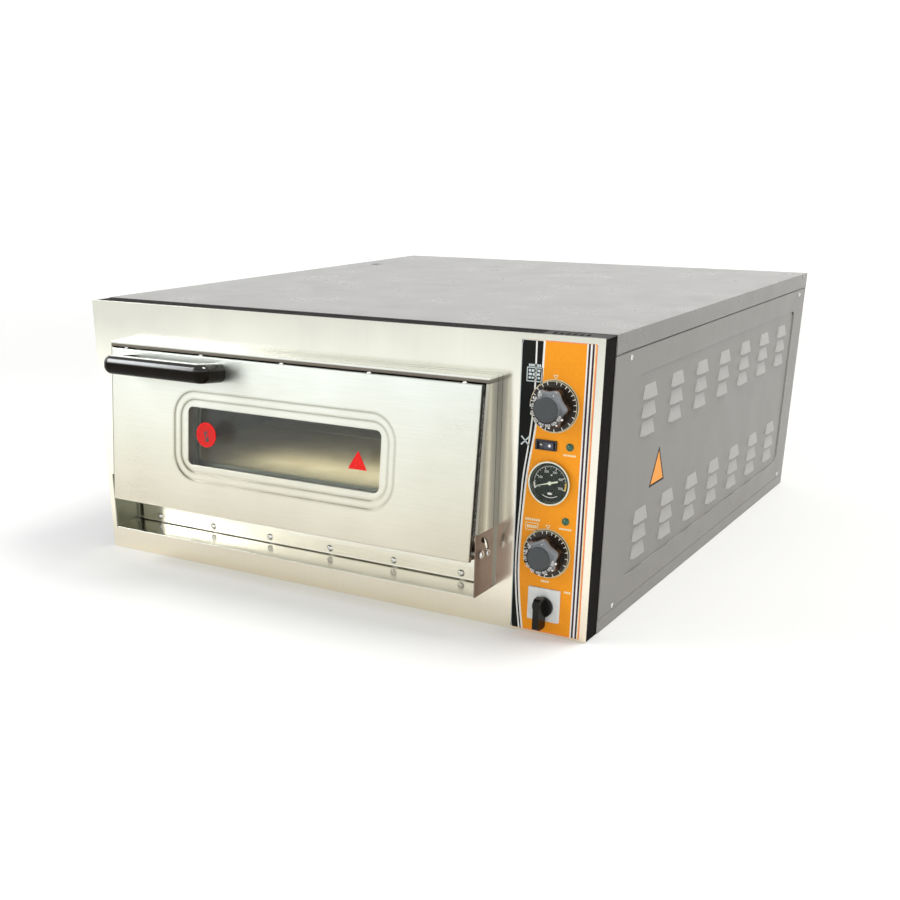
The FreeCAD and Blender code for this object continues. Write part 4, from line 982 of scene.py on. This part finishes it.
def seal_rope():
    """Plaited seal round the door's inner pan, with the bumps of its strands."""
    radius, plait, strand, corner = 3.2, 0.28, 6.0, 14.0
    x0, x1 = DOOR_LEFT + radius, DOOR_RIGHT - radius
    z0, z1 = DOOR_PIVOT.z + 8.4, DOOR_PIVOT.z + 222.2
    depth = DOOR_FRONT + 12.5
    corners = ((x1 - corner, z1 - corner, 0), (x0 + corner, z1 - corner, 90), (x0 + corner, z0 + corner, 180),
               (x1 - corner, z0 + corner, 270))
    path = []
    for i, (cx, cz, start) in enumerate(corners):
        bend = ring_points(cx, cz, corner, 8, start, 90.0, False)
        path += bend
        nx, nz, after = corners[(i + 1) % 4]
        end = ring_points(nx, nz, corner, 2, after, 90.0, False)[0]
        last = bend[-1]
        pieces = max(int(math.dist(last, end) / 2.4), 1)
        path += [(last[0] + (end[0] - last[0]) * k / pieces, last[1] + (end[1] - last[1]) * k / pieces)
                 for k in range(1, pieces)]
    b = Build("seal_rope", "door", "braid", "braid")
    middle = ((x0 + x1) / 2, (z0 + z1) / 2)
    rows, run, sides = [], 0.0, 10
    for i, (x, z) in enumerate(path):
        ahead, behind = path[(i + 1) % len(path)], path[i - 1]
        along = Vector((ahead[0] - behind[0], 0.0, ahead[1] - behind[1])).normalized()
        out = Vector((along.z, 0.0, -along.x))
        if out.dot(Vector((x - middle[0], 0.0, z - middle[1]))) < 0:
            out = -out
        row = []
        for k in range(sides):
            a = 2 * math.pi * k / sides
            r = radius + plait * math.cos(2 * math.pi * run / strand + 2 * a)
            spot = Vector((x, depth, z)) + out * (r * math.cos(a)) + Vector((0.0, r * math.sin(a), 0.0))
            row.append(b.bm.verts.new(spot))
        rows.append(row)
        run += math.dist((x, z), ahead)
    for row, following in zip(rows, rows[1:] + rows[:1]):
        for k in range(sides):
            j = (k + 1) % sides
            b.face([row[k], row[j], following[j], following[k]], "braid", True)
    piece = b.finish(door_lean())
    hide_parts("door_gasket")


seal_rope()


def window_marks():
    """Raised rim and a plain slanted bar on the round red mark of the door's glass."""
    front = PANE_FRONT - 0.3
    x, z = DISC_X, DISC_Z
    b = Build("window_marks", "door", "marker_red", "marker_red", "marker_dark", "marker_grey")
    back = front + 0.1
    b.band(ring_points(x, z, 15.4, 64), ring_points(x, z, 18.6, 64), front - 0.5, back, "marker_red")
    b.slab(ring_points(x, z, 15.2, 64), front - 0.06, back, "marker_dark")
    b.slab(placed(rectangle(-3.4, 3.4, -10.5, 5.5), x, z, 14.0), front - 0.16, back, "marker_grey")
    b.slab(placed(rectangle(-1.0, 1.0, -3.0, 5.0), x + 1.0, z - 2.0, -8.0), front - 0.24, back, "marker_red")
    b.finish(door_lean())


window_marks()


# ---- stage, lights, camera ---------------------------------------------------------------------
def studio():
    """Pale floor that rises smoothly into a bright backdrop all the way round."""
    bm = bmesh.new()
    flat, bend, top, drop = 4.0, 2.0, 4.4, 0.0004
    profile = [(1.0, 0.0), (2.5, 0.0), (flat, 0.0)]
    profile += [(flat + bend * math.sin(math.radians(a)), bend - bend * math.cos(math.radians(a)))
                for a in range(10, 91, 10)]
    profile.append((flat + bend, top))
    count = 96
    centre = bm.verts.new((0, 0, -drop))
    rows = []
    for radius, height in profile:
        rows.append([bm.verts.new((radius * math.cos(2 * math.pi * i / count),
                                   radius * math.sin(2 * math.pi * i / count), height - drop))
                     for i in range(count)])
    for i in range(count):
        j = (i + 1) % count
        bm.faces.new([centre, rows[0][i], rows[0][j]])
        for a, b in zip(rows, rows[1:]):
            bm.faces.new([a[i], b[i], b[j], a[j]])
    for face in bm.faces:
        face.smooth = True
    mesh = bpy.data.meshes.new("floor")
    bm.to_mesh(mesh)
    bm.free()
    f = Finish("floor", Specular_IOR_Level=0.1, Emission_Color=(1.0, 1.0, 1.0, 1.0))
    patch = f.noise(1.2, (1, 1, 1), 2.0, 0.5)
    reach = f.put("VectorMath", {0: f.where}, operation="LENGTH").outputs["Value"]
    glow = f.span(reach, 1.0, 4.6, 0.10, 0.38)
    pale = f.ramp(patch, (0.3, (0.84, 0.84, 0.83)), (0.7, (0.86, 0.86, 0.85)))
    mesh.materials.append(f.done(Base_Color=pale, Roughness=f.span(patch, 0.3, 0.7, 0.85, 0.95),
                                 Emission_Strength=glow))
    floor = bpy.data.objects.new("floor", mesh)
    bpy.context.scene.collection.objects.link(floor)


def area_light(name, place, target, size, power, colour, along=(0, 0, 1)):
    """Rectangular soft light aimed at a target, with the long side of its size turned towards `along`."""
    lamp = bpy.data.lights.new(name, "AREA")
    lamp.shape = "RECTANGLE"
    lamp.size, lamp.size_y = size
    lamp.energy = power
    lamp.color = colour
    holder = bpy.data.objects.new(name, lamp)
    back = (Vector(place) - Vector(target)).normalized()
    up = Vector(along)
    side = up.cross(back)
    if side.length < 0.001:
        side = Vector((1, 0, 0))
    side.normalize()
    up = back.cross(side)
    holder.matrix_world = Matrix.Translation(place) @ Matrix((side, up, back)).transposed().to_4x4()
    holder.visible_transmission = False
    bpy.context.scene.collection.objects.link(holder)


def world():
    sky = bpy.data.worlds.new("sky")
    bpy.context.scene.world = sky
    sky.use_nodes = True
    background = sky.node_tree.nodes["Background"]
    background.inputs["Color"].default_value = (0.98, 0.99, 1.0, 1.0)
    background.inputs["Strength"].default_value = 0.45


def camera():
    azimuth, elevation, roll = math.radians(31.734), math.radians(23.078), math.radians(-0.221)
    back = Vector((math.sin(azimuth) * math.cos(elevation), -math.cos(azimuth) * math.cos(elevation),
                   math.sin(elevation)))
    right = Vector((0, 0, 1)).cross(back).normalized()
    up = back.cross(right)
    right, up = (right * math.cos(roll) + up * math.sin(roll), up * math.cos(roll) - right * math.sin(roll))
    lens = bpy.data.cameras.new("camera")
    lens.lens = 47.775
    lens.sensor_width = 36.0
    lens.shift_x = 0.0751
    lens.shift_y = 0.2354
    lens.clip_start = 0.05
    lens.clip_end = 50.0
    holder = bpy.data.objects.new("camera", lens)
    turn = Matrix((right, up, back)).transposed().to_4x4()
    holder.matrix_world = Matrix.Translation((1.0090, -1.9708, 0.6287)) @ turn
    bpy.context.scene.collection.objects.link(holder)
    bpy.context.scene.camera = holder


studio()
world()
area_light("key", place=(-1.9, -1.75, 1.5), target=(-0.25, -0.56, 0.33), size=(0.5, 1.75), power=24.5,
           colour=(0.96, 0.985, 1.0), along=(0, 0.70, 0.71))
area_light("top", place=(1.0, 0.3, 3.0), target=(0.3, 0.1, 0.2), size=(1.1, 1.1), power=50.0,
           colour=(1.0, 0.99, 0.97))
area_light("chamber", place=(0.02, -0.425, 0.235), target=(0.02, -0.39, 0.1), size=(0.40, 0.05), power=0.26,
           colour=(1.0, 0.93, 0.80))
camera()
bpy.context.scene.view_settings.view_transform = "Standard"
